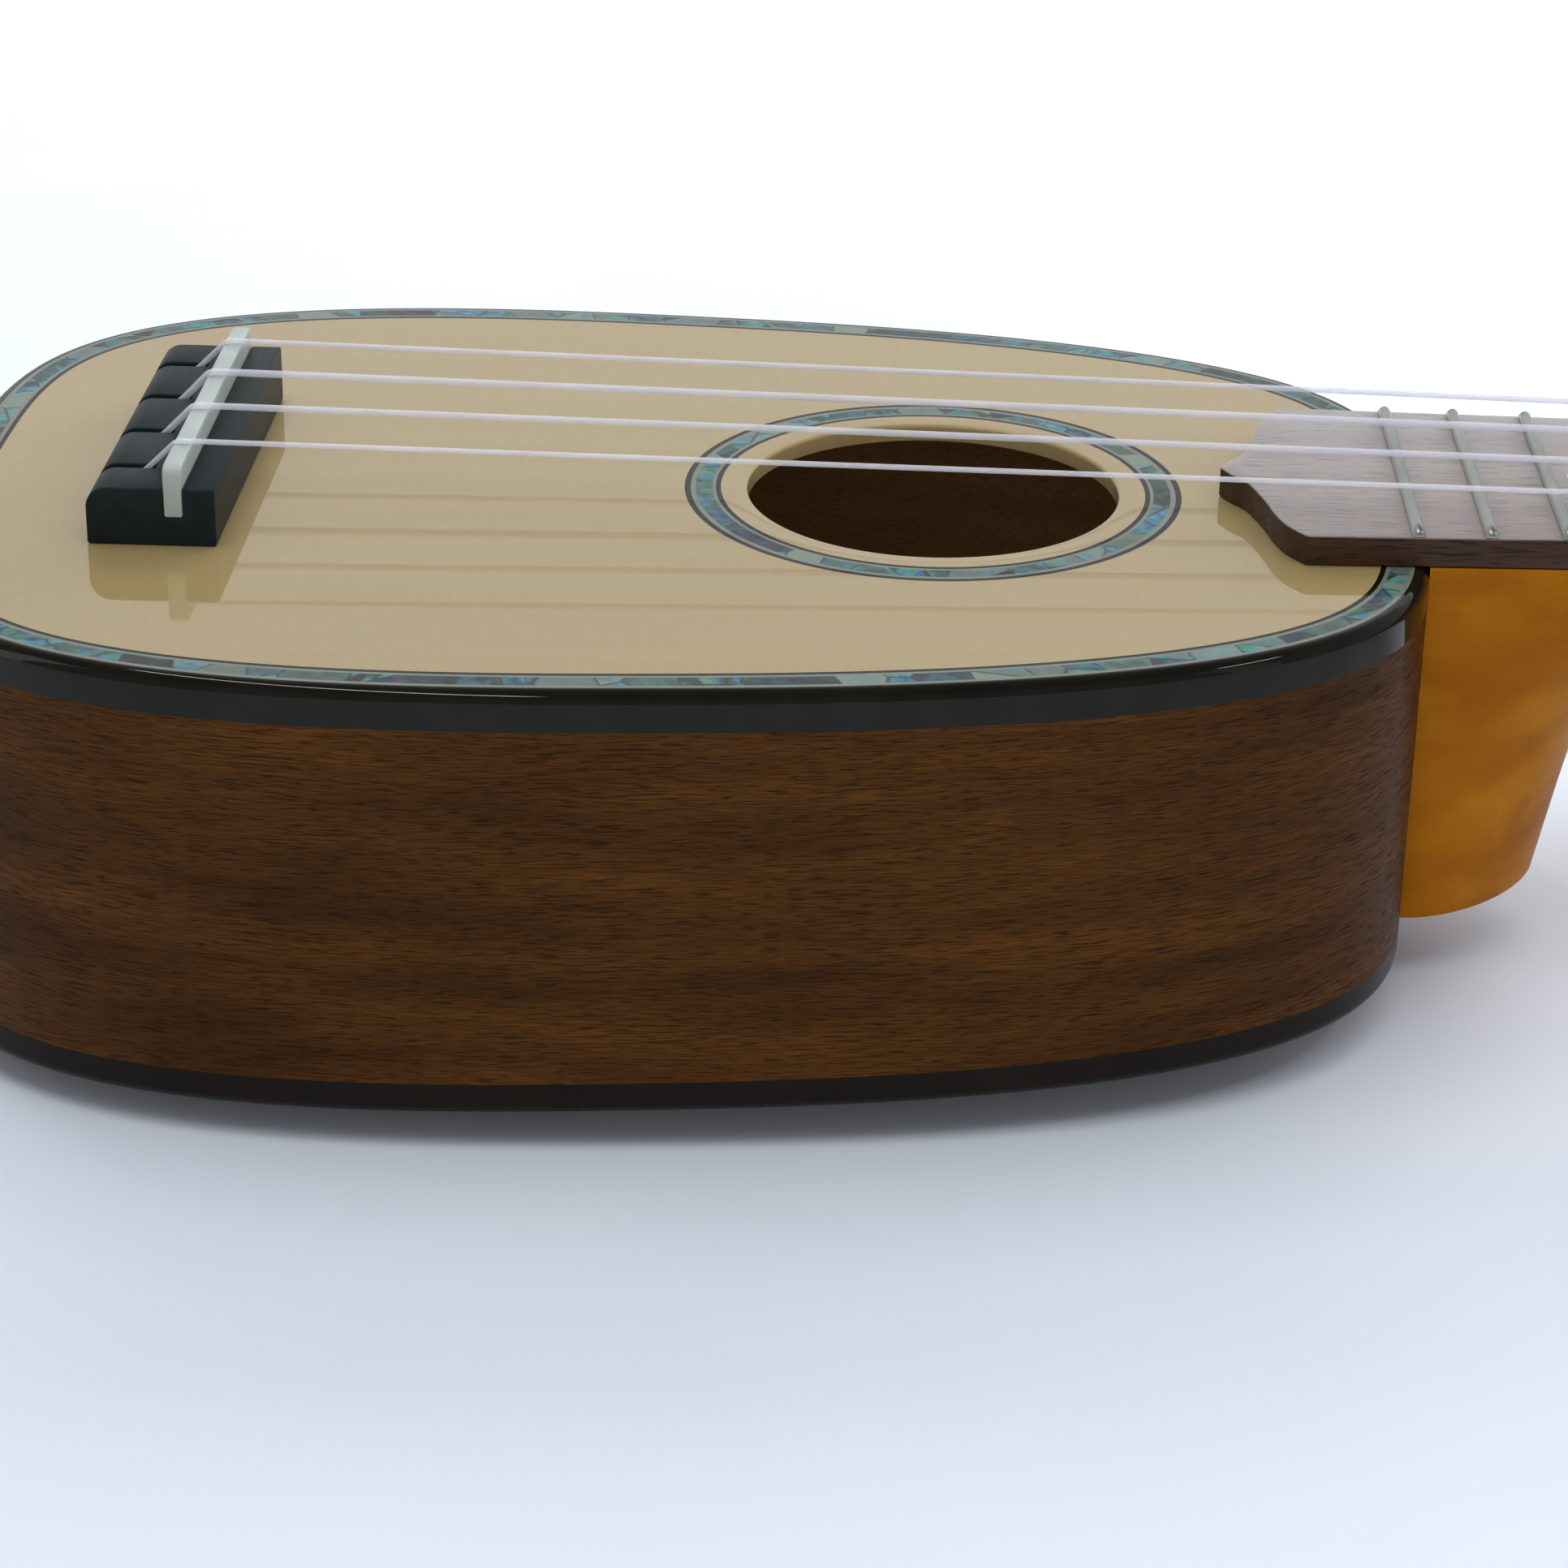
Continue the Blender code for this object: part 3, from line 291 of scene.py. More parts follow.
@dataclass(frozen=True)
class Spruce(Finish):
    """Quarter-sawn spruce: straight growth lines about a millimetre apart, and silky flecks."""

    pale: str = "#99875d"
    line: str = "#877348"
    fleck: str = "#a4936a"
    line_mm: float = 1.1
    line_share: float = 0.10
    fleck_mm: Point = (0.9, 5.0, 5.0)
    fleck_share: float = 0.25
    drift_mm: Point = (160.0, 22.0, 22.0)
    drift_share: float = 0.22
    relief_mm: float = 0.0

    def paint(self, tree: Tree, shader: Node) -> None:
        """Draw the growth lines along X, the flecks across them and a slow drift of tone."""
        lines = self.grain(tree, (260.0, self.line_mm, self.line_mm), 0.42, 0.72)
        flecks = self.grain(tree, self.fleck_mm, 0.5, 0.8)
        drift = self.grain(tree, self.drift_mm, 0.3, 0.7)
        colour = self.blend(tree, self.part_of(tree, drift, self.drift_share), self.pale,
                            self.line)
        colour = self.blend(tree, self.part_of(tree, lines, self.line_share), colour, self.line)
        colour = self.blend(tree, self.part_of(tree, flecks, self.fleck_share), colour,
                            self.fleck)
        tree.links.new(colour, shader.inputs["Base Color"])
        if self.relief_mm:
            self.emboss(tree, shader, lines, 0.5, self.relief_mm)


@dataclass(frozen=True)
class Abalone(Finish):
    """Polished paua shell, cut into short strips and laid end to end.

    Each strip is its own cut, so its tone jumps at every joint. Thin layers in the shell split
    the light into blue, green and violet flashes that run in narrow ripples.
    """

    base: tuple[str, ...] = ("#141d1a", "#56635a", "#1f332b", "#6c786c", "#1b2730", "#374b42")
    flash: tuple[str, ...] = ("#1d4a86", "#1d8068", "#3a4c86", "#2c8c9a", "#2d7a44", "#6a8a84")
    strip_mm: float = 5.2
    unevenness: float = 0.9
    joint_width: float = 0.045
    joint_share: float = 0.85
    cloud: str = "#76867f"
    cloud_mm: Point = (2.2, 1.2, 1.0)
    seam: str = "#141b19"
    ripple_mm: float = 2.4
    keenness: float = 1.15

    def paint(self, tree: Tree, shader: Node) -> None:
        """Draw the strips, their joints and the flashes."""
        cells = self.place(tree, Follow.RUN, (self.strip_mm, 7.0, 7.0))
        layout = {"Vector": cells, "Scale": 1.0, "Randomness": self.unevenness}
        strip = add_node(tree, "TexVoronoi", layout, voronoi_dimensions="2D")
        joint = add_node(tree, "TexVoronoi", layout, voronoi_dimensions="2D",
                         feature="DISTANCE_TO_EDGE")
        number = add_node(tree, "SeparateColor", {0: strip.outputs["Color"]})
        steps = len(self.base)
        ground = add_node(tree, "ValToRGB", {0: number.outputs[0]},
                          stops=[(k / steps, c) for k, c in enumerate(self.base)])
        ground.color_ramp.interpolation = "CONSTANT"
        spot = self.place(tree, Follow.RUN, (self.ripple_mm, self.ripple_mm * 1.6, 1.0))
        shift = add_node(tree, "VectorMath", {0: strip.outputs["Color"], 1: (40.0, 40.0, 40.0)},
                         operation="MULTIPLY")
        moved = add_node(tree, "VectorMath", {0: spot, 1: shift.outputs[0]}, operation="ADD")
        hue = add_node(tree, "TexNoise", {"Vector": moved.outputs[0], "Scale": 1.1, "Detail": 1.0,
                                          "Distortion": 0.8})
        tint = add_node(tree, "ValToRGB", {0: hue.outputs["Fac"]},
                        stops=[(0.28 + 0.09 * k, c) for k, c in enumerate(self.flash)])
        ripple = self.speckle(tree, add_node(tree, "VectorMath", {0: moved.outputs[0],
                                                                  1: (3.1, 1.7, 0.0)},
                                             operation="ADD").outputs[0], 0.42, 0.56, 1.0)
        keen = add_node(tree, "Math", {0: number.outputs[1], 1: ripple}, operation="MULTIPLY")
        keen = add_node(tree, "Math", {0: keen.outputs[0], 1: self.keenness},
                        operation="MULTIPLY", use_clamp=True)
        colour = self.blend(tree, keen.outputs[0], ground.outputs[0], tint.outputs[0])
        pale = self.grain(tree, self.cloud_mm, 0.50, 0.75, follow=Follow.RUN)
        colour = self.blend(tree, self.part_of(tree, pale, 0.20), colour, self.cloud)
        seam = add_node(tree, "MapRange", {"Value": joint.outputs["Distance"], "From Min": 0.0,
                                           "From Max": self.joint_width,
                                           "To Min": self.joint_share, "To Max": 0.0},
                        clamp=True)
        colour = self.blend(tree, seam.outputs[0], colour, self.seam)
        tree.links.new(colour, shader.inputs["Base Color"])


@dataclass(frozen=True)
class Plain(Finish):
    """A plain moulded, cast or plated surface with faint clouding, handling marks and relief."""

    colour: str = "#808080"
    second: str = "#707070"
    cloud_mm: Point = (8.0, 8.0, 8.0)
    mark_mm: Point = (0.5, 0.5, 0.5)
    rough_spread: float = 0.08
    relief_mm: float = 0.004
    milk: float = 0.0

    def paint(self, tree: Tree, shader: Node) -> None:
        """Draw the clouding into colour, and the marks into roughness and relief."""
        cloud = self.grain(tree, self.cloud_mm, 0.3, 0.7, 3.0)
        marks = self.grain(tree, self.mark_mm, 0.35, 0.7, 4.0)
        tree.links.new(self.blend(tree, cloud, self.colour, self.second),
                       shader.inputs["Base Color"])
        rough = add_node(tree, "MapRange", {"Value": marks, "To Min": self.roughness,
                                            "To Max": self.roughness + self.rough_spread})
        tree.links.new(rough.outputs["Result"], shader.inputs["Roughness"])
        if self.relief_mm:
            self.emboss(tree, shader, marks, 0.4, self.relief_mm)
        if self.milk:
            shader.inputs["Subsurface Weight"].default_value = self.milk
            shader.inputs["Subsurface Scale"].default_value = 1.0 * MM
            shader.inputs["Subsurface Radius"].default_value = (1.0, 0.9, 0.8)


# What the two stained and lacquered mahogany boards share.
STAINED: dict[str, float | str] = {
    "roughness": 0.36, "coat": 0.04, "coat_roughness": 0.2, "specular": 0.05, "pale": "#5c3813",
    "dark": "#392108", "pore": "#160a03", "fibre_share": 0.70, "pore_from": 0.52,
    "pore_share": 0.70}
# The grain of the rosewood board, on its face and its edges.
BOARD_GRAIN: dict[str, Point] = {"figure_mm": (90.0, 5.0, 5.0), "fibre_mm": (12.0, 0.6, 0.6)}

FINISHES: tuple[Finish, ...] = (
    # Spruce under polished lacquer: the clear coat mirrors what stands on it.
    Spruce("lacquered_spruce", "spruce", roughness=0.6, coat=1.0, coat_roughness=0.012,
           specular=0.05),
    # Sawn brace stock, left from the plane.
    Spruce("planed_spruce", "spruce", roughness=0.7, pale="#c9ad80", relief_mm=0.05),
    # Bent mahogany, stained dark and rubbed to a satin lacquer: open pores show as dark dashes.
    Wood("satin_mahogany", "mahogany", figure_mm=(38.0, 38.0, 5.0), fibre_mm=(7.0, 7.0, 0.24),
         pore_mm=(2.6, 2.6, 0.105), **STAINED),
    # The same wood on the arched back, with the grain lying in the plate.
    Wood("back_mahogany", "mahogany", figure_mm=(80.0, 6.0, 80.0), fibre_mm=(7.0, 0.24, 7.0),
         pore_mm=(2.6, 0.105, 2.6), **STAINED),
    # The inside of sides and back: the same wood, bare, never stained.
    Wood("bare_mahogany", "mahogany", roughness=0.7, pale="#cba983", dark="#b08f69",
         pore="#7d6145", figure_mm=(45.0, 6.0, 6.0), fibre_mm=(6.0, 0.5, 0.5),
         pore_mm=(3.0, 0.25, 0.25), pore_share=0.4, specular=0.2),
    # Neck stock stained honey amber under satin lacquer: close, blotchy, with short fine pores.
    Wood("amber_neck", "amber_mahogany", roughness=0.38, coat=0.03, coat_roughness=0.2,
         specular=0.05, pale="#9f6105", dark="#854903", pore="#85480c", figure_mm=(50.0, 9.0, 9.0),
         fibre_mm=(4.0, 0.35, 0.35), pore_mm=(2.0, 0.22, 0.22), pore_share=0.16,
         fibre_share=0.25, blotch="#bb7e14", relief_mm=0.01),
    # Limewood glue strips and blocks, bare and pale.
    Wood("bare_limewood", "lining_wood", roughness=0.75, pale="#b98f62", dark="#9d744b",
         pore="#7d5836", pore_share=0.3),
    # Blackened hardwood, waxed: slate grey where it catches the light.
    Plain("black_bridge_wood", "ebony", roughness=0.42, specular=0.13, colour="#1a2425",
          second="#151c1d", cloud_mm=(3.0, 20.0, 3.0), mark_mm=(0.5, 6.0, 0.5),
          rough_spread=0.04, relief_mm=0.001),
    # Rosewood board, oiled but unlacquered, with long open pores. Its pale grey colour is partly
    # the wood and partly painted reflection: the haze its face shows at a glancing view.
    Wood("rosewood_with_painted_haze", "rosewood", roughness=0.46, coat=0.5, coat_roughness=0.35,
         sheen=0.9, pale="#7a6a64", dark="#5e4f49", pore="#2a1f1b",
         pore_mm=(4.5, 0.28, 0.28), pore_share=0.8, specular=0.9, **BOARD_GRAIN),
    # The board's scraped and waxed edges: the rosewood's own darker brown, without the painted
    # haze of the face.
    Wood("waxed_rosewood", "rosewood", roughness=0.4, pale="#4a3424", dark="#372518",
         pore="#120b07", pore_mm=(4.5, 0.2, 0.2), pore_share=0.7, specular=0.2, **BOARD_GRAIN),
    # Black celluloid binding, buffed with the lacquer: a deep mirror gloss with faint haze.
    Plain("black_celluloid", "black_binding", roughness=0.03, specular=0.20,
          colour="#17160f", second="#100f0a", rough_spread=0.02, relief_mm=0.0),
    # The same black celluloid under the sides, painted browner and darker for the shade it sits in
    # low by the table, and given a duller gloss.
    Plain("black_celluloid_painted_shade", "black_binding", roughness=0.25, specular=0.12,
          colour="#18120a", second="#120d07", rough_spread=0.1, relief_mm=0.002),
    # Ivory celluloid lines let into the top.
    Plain("ivory_line", "black_binding", roughness=0.2, coat=0.5, coat_roughness=0.02,
          colour="#6f756c", second="#646a61", specular=0.05, relief_mm=0.0),
    # Black lines let into the top, under the lacquer.
    Plain("black_line", "black_binding", roughness=0.2, coat=0.35, coat_roughness=0.02,
          colour="#0a0a09", second="#0e0e0c", specular=0.05, relief_mm=0.0),
    # Shell strips under the same lacquer.
    Abalone("abalone", "shell", roughness=0.3, coat=0.45, coat_roughness=0.02, specular=0.05),
    # Moulded white saddle and nut: milky, softly polished.
    Plain("milky_bone", "bone", roughness=0.3, colour="#a9b2b0", second="#9fa8a5", milk=0.35,
          specular=0.3),
    # Extruded nylon, clear but clouded: pale, with light carried inside it.
    Plain("clear_nylon", "nylon", roughness=0.2, colour="#e4e6f2", second="#dadce9",
          milk=1.0, specular=0.3, alpha=0.44, rough_spread=0.0, relief_mm=0.0, ior=1.53),
    # Drawn nickel silver: a warm, faintly green grey polished along its crown.
    Plain("nickel_silver", "fret_metal", roughness=0.34, metallic=1.0, colour="#b9bdb4",
          second="#adb1a8", mark_mm=(3.0, 30.0, 3.0), rough_spread=0.03, relief_mm=0.0),
    # Nickel plate on steel: bright with faint clouds.
    Plain("nickel_plate", "nickel", roughness=0.16, metallic=1.0, colour="#cfccc6",
          second="#b9b6b0"),
    # Cut brass: yellow, with tool marks round the teeth.
    Plain("cut_brass", "brass", roughness=0.28, metallic=1.0, colour="#c8a75c", second="#a98745",
          mark_mm=(0.3, 0.3, 1.5)),
    # Cast acrylic with pearl flake: clouded cream with a soft inner light.
    Plain("pearl_acrylic", "pearl_plastic", roughness=0.12, coat=0.6, colour="#ece8dd",
          second="#cfc9bb", cloud_mm=(3.0, 3.0, 6.0), milk=0.25, relief_mm=0.0),
    # Shell dots, close to white.
    Plain("pearl_dot", "shell", roughness=0.2, colour="#dfe3e0", second="#b9c4c4",
          cloud_mm=(1.5, 1.5, 1.5), coat=0.5),
)


# ---------------------------------------------------------------- mesh tools
def skin(rows: Sequence[Row], wrap_rows: bool, wrap_points: bool) -> Solid:
    """Join rows of equally many points with quads, and cap what doesn't wrap.

    The layer "run" holds, for each corner, how far it lies along its row and across the rows.

    Args:
        rows: the rows of points.
        wrap_rows: whether the last row joins the first.
        wrap_points: whether each row is a loop.

    Returns:
        The closed mesh.
    """
    bm = bmesh.new()
    layer = bm.loops.layers.float_vector.new("run")
    grid = [[bm.verts.new(point) for point in row] for row in rows]
    count = len(grid[0])
    along = [0.0]
    for j in range(count):
        along.append(along[-1] + (Vector(rows[0][(j + 1) % count]) - Vector(rows[0][j])).length)
    across = [0.0]
    for i in range(len(grid)):
        step = Vector(rows[(i + 1) % len(grid)][0]) - Vector(rows[i][0])
        across.append(across[-1] + step.length)
    for i in range(len(grid) if wrap_rows else len(grid) - 1):
        for j in range(count if wrap_points else count - 1):
            below = grid[i]
            above = grid[(i + 1) % len(grid)]
            k = (j + 1) % count
            face = bm.faces.new((below[j], below[k], above[k], above[j]))
            places = ((j, i), (j + 1, i), (j + 1, i + 1), (j, i + 1))
            for loop, (a, b) in zip(face.loops, places):
                loop[layer] = (along[a], across[b], 0.0)
    if not wrap_rows:
        bm.faces.new(grid[0])
        bm.faces.new(grid[-1])
    if not wrap_points:
        bm.faces.new([row[0] for row in grid])
        bm.faces.new([row[-1] for row in grid])
    return bm


def box(low: Point, high: Point) -> Solid:
    """Make a box between two corners.

    Args:
        low: the lowest corner.
        high: the highest corner.

    Returns:
        The box.
    """
    bm = bmesh.new()
    bmesh.ops.create_cube(bm, size=1.0)
    bmesh.ops.scale(bm, vec=Vector(high) - Vector(low), verts=bm.verts)
    bmesh.ops.translate(bm, vec=(Vector(high) + Vector(low)) / 2.0, verts=bm.verts)
    return bm


def turned(profile: Profile, segments: int = 40, ring: bool = False) -> Solid:
    """Make a solid of revolution about Z from (radius, height) points.

    Args:
        profile: the points, from the lower end to the upper one.
        segments: how many sides the turning has.
        ring: whether the profile closes on itself, instead of being capped flat.

    Returns:
        The turned solid.
    """
    angles = [FULL_TURN * k / segments for k in range(segments)]
    rows = [[(r * math.cos(a), r * math.sin(a), z) for a in angles] for r, z in profile]
    return skin(rows, wrap_rows=ring, wrap_points=True)


def bar_across(profile: Profile, half_length: float) -> Solid:
    """Make a prism along Y.

    Args:
        profile: its (x, z) outline.
        half_length: half its length.

    Returns:
        The prism.
    """
    rows = [[(x, side * half_length, z) for x, z in profile] for side in (-1.0, 1.0)]
    return skin(rows, wrap_rows=False, wrap_points=True)


def arc(middle_a: float, middle_b: float, radius: float, start: float, end: float,
        steps: int) -> list[tuple[float, float]]:
    """Give points on an arc.

    Args:
        middle_a: the arc's centre, first coordinate.
        middle_b: the arc's centre, second coordinate.
        radius: its radius.
        start: its first angle, in degrees.
        end: its last angle, in degrees.
        steps: how many pieces it has.

    Returns:
        The points, first to last.
    """
    turns = [math.radians(start + (end - start) * k / steps) for k in range(steps + 1)]
    return [(middle_a + radius * math.cos(t), middle_b + radius * math.sin(t)) for t in turns]


def smooth_through(points: Profile, steps: int) -> list[tuple[float, float]]:
    """Give a Catmull-Rom curve through 2-D points.

    Args:
        points: the points it passes through.
        steps: how many pieces each stretch has.

    Returns:
        The curve's points.
    """
    padded = [points[0], *points, points[-1]]
    made = []
    for i in range(1, len(padded) - 2):
        p0, p1, p2, p3 = (np.array(padded[i + k]) for k in (-1, 0, 1, 2))
        for k in range(steps):
            t = k / steps
            made.append(tuple(0.5 * (2.0 * p1 + (p2 - p0) * t
                                     + (2.0 * p0 - 5.0 * p1 + 4.0 * p2 - p3) * t ** 2
                                     + (3.0 * p1 - p0 - 3.0 * p2 + p3) * t ** 3)))
    made.append(tuple(points[-1]))
    return made


class Bench:
    """Holds the finishes and puts finished pieces into the scene."""

    def __init__(self) -> None:
        """Mix every finish."""
        self.finishes = {finish.name: finish.build() for finish in FINISHES}
        self.slots = {finish.name: finish.slot for finish in FINISHES}

    def add(self, name: str, bm: Solid, finish: str, replaces: Sequence[str] = (),
            body: str = ROOT, place: Matrix | None = None, smooth: float = 35.0,
            bevel_mm: float = 0.0, cutters: Sequence[bpy.types.Object] = (),
            second: tuple[str, FaceTest] | None = None) -> bpy.types.Object:
        """Turn a mesh into a finished piece that rides on a body.

        Args:
            name: the piece's name.
            bm: its mesh, used up here.
            finish: the finish's name.
            replaces: the CAD nodes it stands for.
            body: the body it rides on.
            place: its place, if its mesh isn't in the part's own frame.
            smooth: the angle, in degrees, above which an edge stays crisp.
            bevel_mm: how wide its edges are rounded.
            cutters: what is taken out of it, removed afterwards.
            second: a second finish, and the test for the faces that have it.

        Returns:
            The piece.
        """
        bmesh.ops.recalc_face_normals(bm, faces=bm.faces)
        mesh = bpy.data.meshes.new(name)
        bm.to_mesh(mesh)
        bm.free()
        piece = bpy.data.objects.new(name, mesh)
        bpy.context.scene.collection.objects.link(piece)
        if place is not None:
            piece.matrix_world = place
        for cutter in cutters:
            step = piece.modifiers.new("cut", "BOOLEAN")
            step.operation = "DIFFERENCE"
            step.solver = "EXACT"
            step.object = cutter
        if bevel_mm:
            step = piece.modifiers.new("round", "BEVEL")
            step.width = bevel_mm * MM
            step.segments = 3
            step.limit_method = "ANGLE"
            step.angle_limit = math.radians(40.0)
            step.harden_normals = False
        if piece.modifiers:
            bpy.context.view_layer.update()
            graph = bpy.context.evaluated_depsgraph_get()
            piece.data = bpy.data.meshes.new_from_object(piece.evaluated_get(graph))
            piece.modifiers.clear()
            for cutter in cutters:
                bpy.data.objects.remove(cutter, do_unlink=True)
        piece.data.name = name
        piece.data.shade_smooth()
        piece.data.set_sharp_from_angle(angle=math.radians(smooth))
        piece.data.materials.clear()
        piece.data.materials.append(self.finishes[finish])
        if second is not None:
            piece.data.materials.append(self.finishes[second[0]])
            for face in piece.data.polygons:
                face.material_index = int(second[1](face))
        self.settle(piece, finish, body, replaces)
        return piece

    def settle(self, piece: bpy.types.Object, finish: str, body: str,
               replaces: Sequence[str]) -> None:
        """Make a piece ride on its body and stand for its CAD nodes."""
        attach(piece, body)
        if replaces:
            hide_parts(*replaces)

    def cutter(self, bm: Solid, place: Matrix | None = None) -> bpy.types.Object:
        """Make a cutter for `add`, which removes it again."""
        bmesh.ops.recalc_face_normals(bm, faces=bm.faces)
        mesh = bpy.data.meshes.new("cutter")
        bm.to_mesh(mesh)
        bm.free()
        tool = bpy.data.objects.new("cutter", mesh)
        bpy.context.scene.collection.objects.link(tool)
        if place is not None:
            tool.matrix_world = place
        return tool

    def dress(self, finish: str, *nodes: str) -> None:
        """Give CAD nodes a finish."""
        for node in nodes:
            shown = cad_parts[node]
            shown.data.materials.clear()
            shown.data.materials.append(self.finishes[finish])


# ---------------------------------------------------------------- the instrument
@dataclass(frozen=True)
class Layout:
    """The plan of the whole instrument: where its outline, saddle line, nut and top face lie."""

    tail_x: float = CAD_BOX[0][0]
    top: float = float(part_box("shell_purfling")[1][2])
    body_length: float = 0.1756
    half_width: float = 0.0635
    egg_taper: float = 0.102
    end_fullness: float = 2.5
    corner_fullness: float = 3.82
    tail_to_saddle: float = 0.0336
    scale_length: float = 0.2794
    rim_tail: float = 0.0519
    rim_neck: float = 0.0493
    hole_from_saddle: float = 0.0845
    back_low_from_saddle: float = 0.060
    bridge_height: float = 0.0069
    saddle_centre: float = -0.0017
    saddle_top: float = 0.0096
    string_diameters: tuple[float, ...] = (0.00064, 0.00081, 0.00090, 0.00070)
    string_gap_saddle: float = 0.0119
    string_gap_nut: float = 0.0094
    string_height_nut: float = 0.00566

    @property
    def saddle_x(self) -> float:
        """The saddle line, from which the scale is measured."""
        return self.tail_x + self.tail_to_saddle

    @property
    def body_end_x(self) -> float:
        """Where the body meets the neck."""
        return self.tail_x + self.body_length

    @property
    def nut_x(self) -> float:
        """The nut's face."""
        return self.saddle_x + self.scale_length

    @property
    def hole_x(self) -> float:
        """The sound hole's middle."""
        return self.saddle_x + self.hole_from_saddle

    def fine_outline(self) -> np.ndarray:
        """Give the plan outline as dense points, from the tail round the bass side and back."""
        angle = np.linspace(0.0, math.pi, 2401)
        along = -np.sign(np.cos(angle)) * np.abs(np.cos(angle)) ** (2.0 / self.end_fullness)
        across = self.half_width * np.sin(angle).clip(0.0) ** (2.0 / self.corner_fullness)
        across = across * (1.0 - self.egg_taper * along)
        x = self.tail_x + self.body_length / 2.0 * (1.0 + along)
        half = np.column_stack((x, across))
        return np.vstack((half, half[-2:0:-1] * (1.0, -1.0)))

    def outline(self, inset: float, count: int = 384) -> np.ndarray:
        """Give evenly spaced points of the outline moved inwards.

        Args:
            inset: how far inwards.
            count: how many points.

        Returns:
            The points; the first is at the tail and the middle one at the neck.
        """
        fine = self.fine_outline()
        run = np.roll(fine, -1, axis=0) - np.roll(fine, 1, axis=0)
        inward = np.column_stack((run[:, 1], -run[:, 0]))
        inward /= np.linalg.norm(inward, axis=1)[:, None]
        moved = fine + inset * inward
        closed = np.vstack((moved, moved[:1]))
        steps = np.linalg.norm(np.diff(closed, axis=0), axis=1)
        distance = np.concatenate(([0.0], np.cumsum(steps)))
        wanted = np.linspace(0.0, distance[-1], count, endpoint=False)
        return np.column_stack((np.interp(wanted, distance, closed[:, 0]),
                                np.interp(wanted, distance, closed[:, 1])))

    def circle(self, radius: float, count: int = 384) -> np.ndarray:
        """Give points of a circle about the sound hole, in step with the outline's points."""
        angle = math.pi - 2.0 * math.pi * np.arange(count) / count
        return np.column_stack((self.hole_x + radius * np.cos(angle), radius * np.sin(angle)))

    def rim_bottom(self, x: float) -> float:
        """Give the height of the rim's lower edge, which rises a little towards the neck."""
        share = (x - self.tail_x) / self.body_length
        return self.top - self.rim_tail + (self.rim_tail - self.rim_neck) * share

    def flat(self, points: np.ndarray, below_top: float = 0.0) -> list[Point]:
        """Lift plan points to a height below the top's face."""
        return [(x, y, self.top - below_top) for x, y in points]

    def on_rim(self, points: np.ndarray, rise: float) -> list[Point]:
        """Lift plan points to a rise above the rim's lower edge."""
        return [(x, y, self.rim_bottom(x) + rise) for x, y in points]


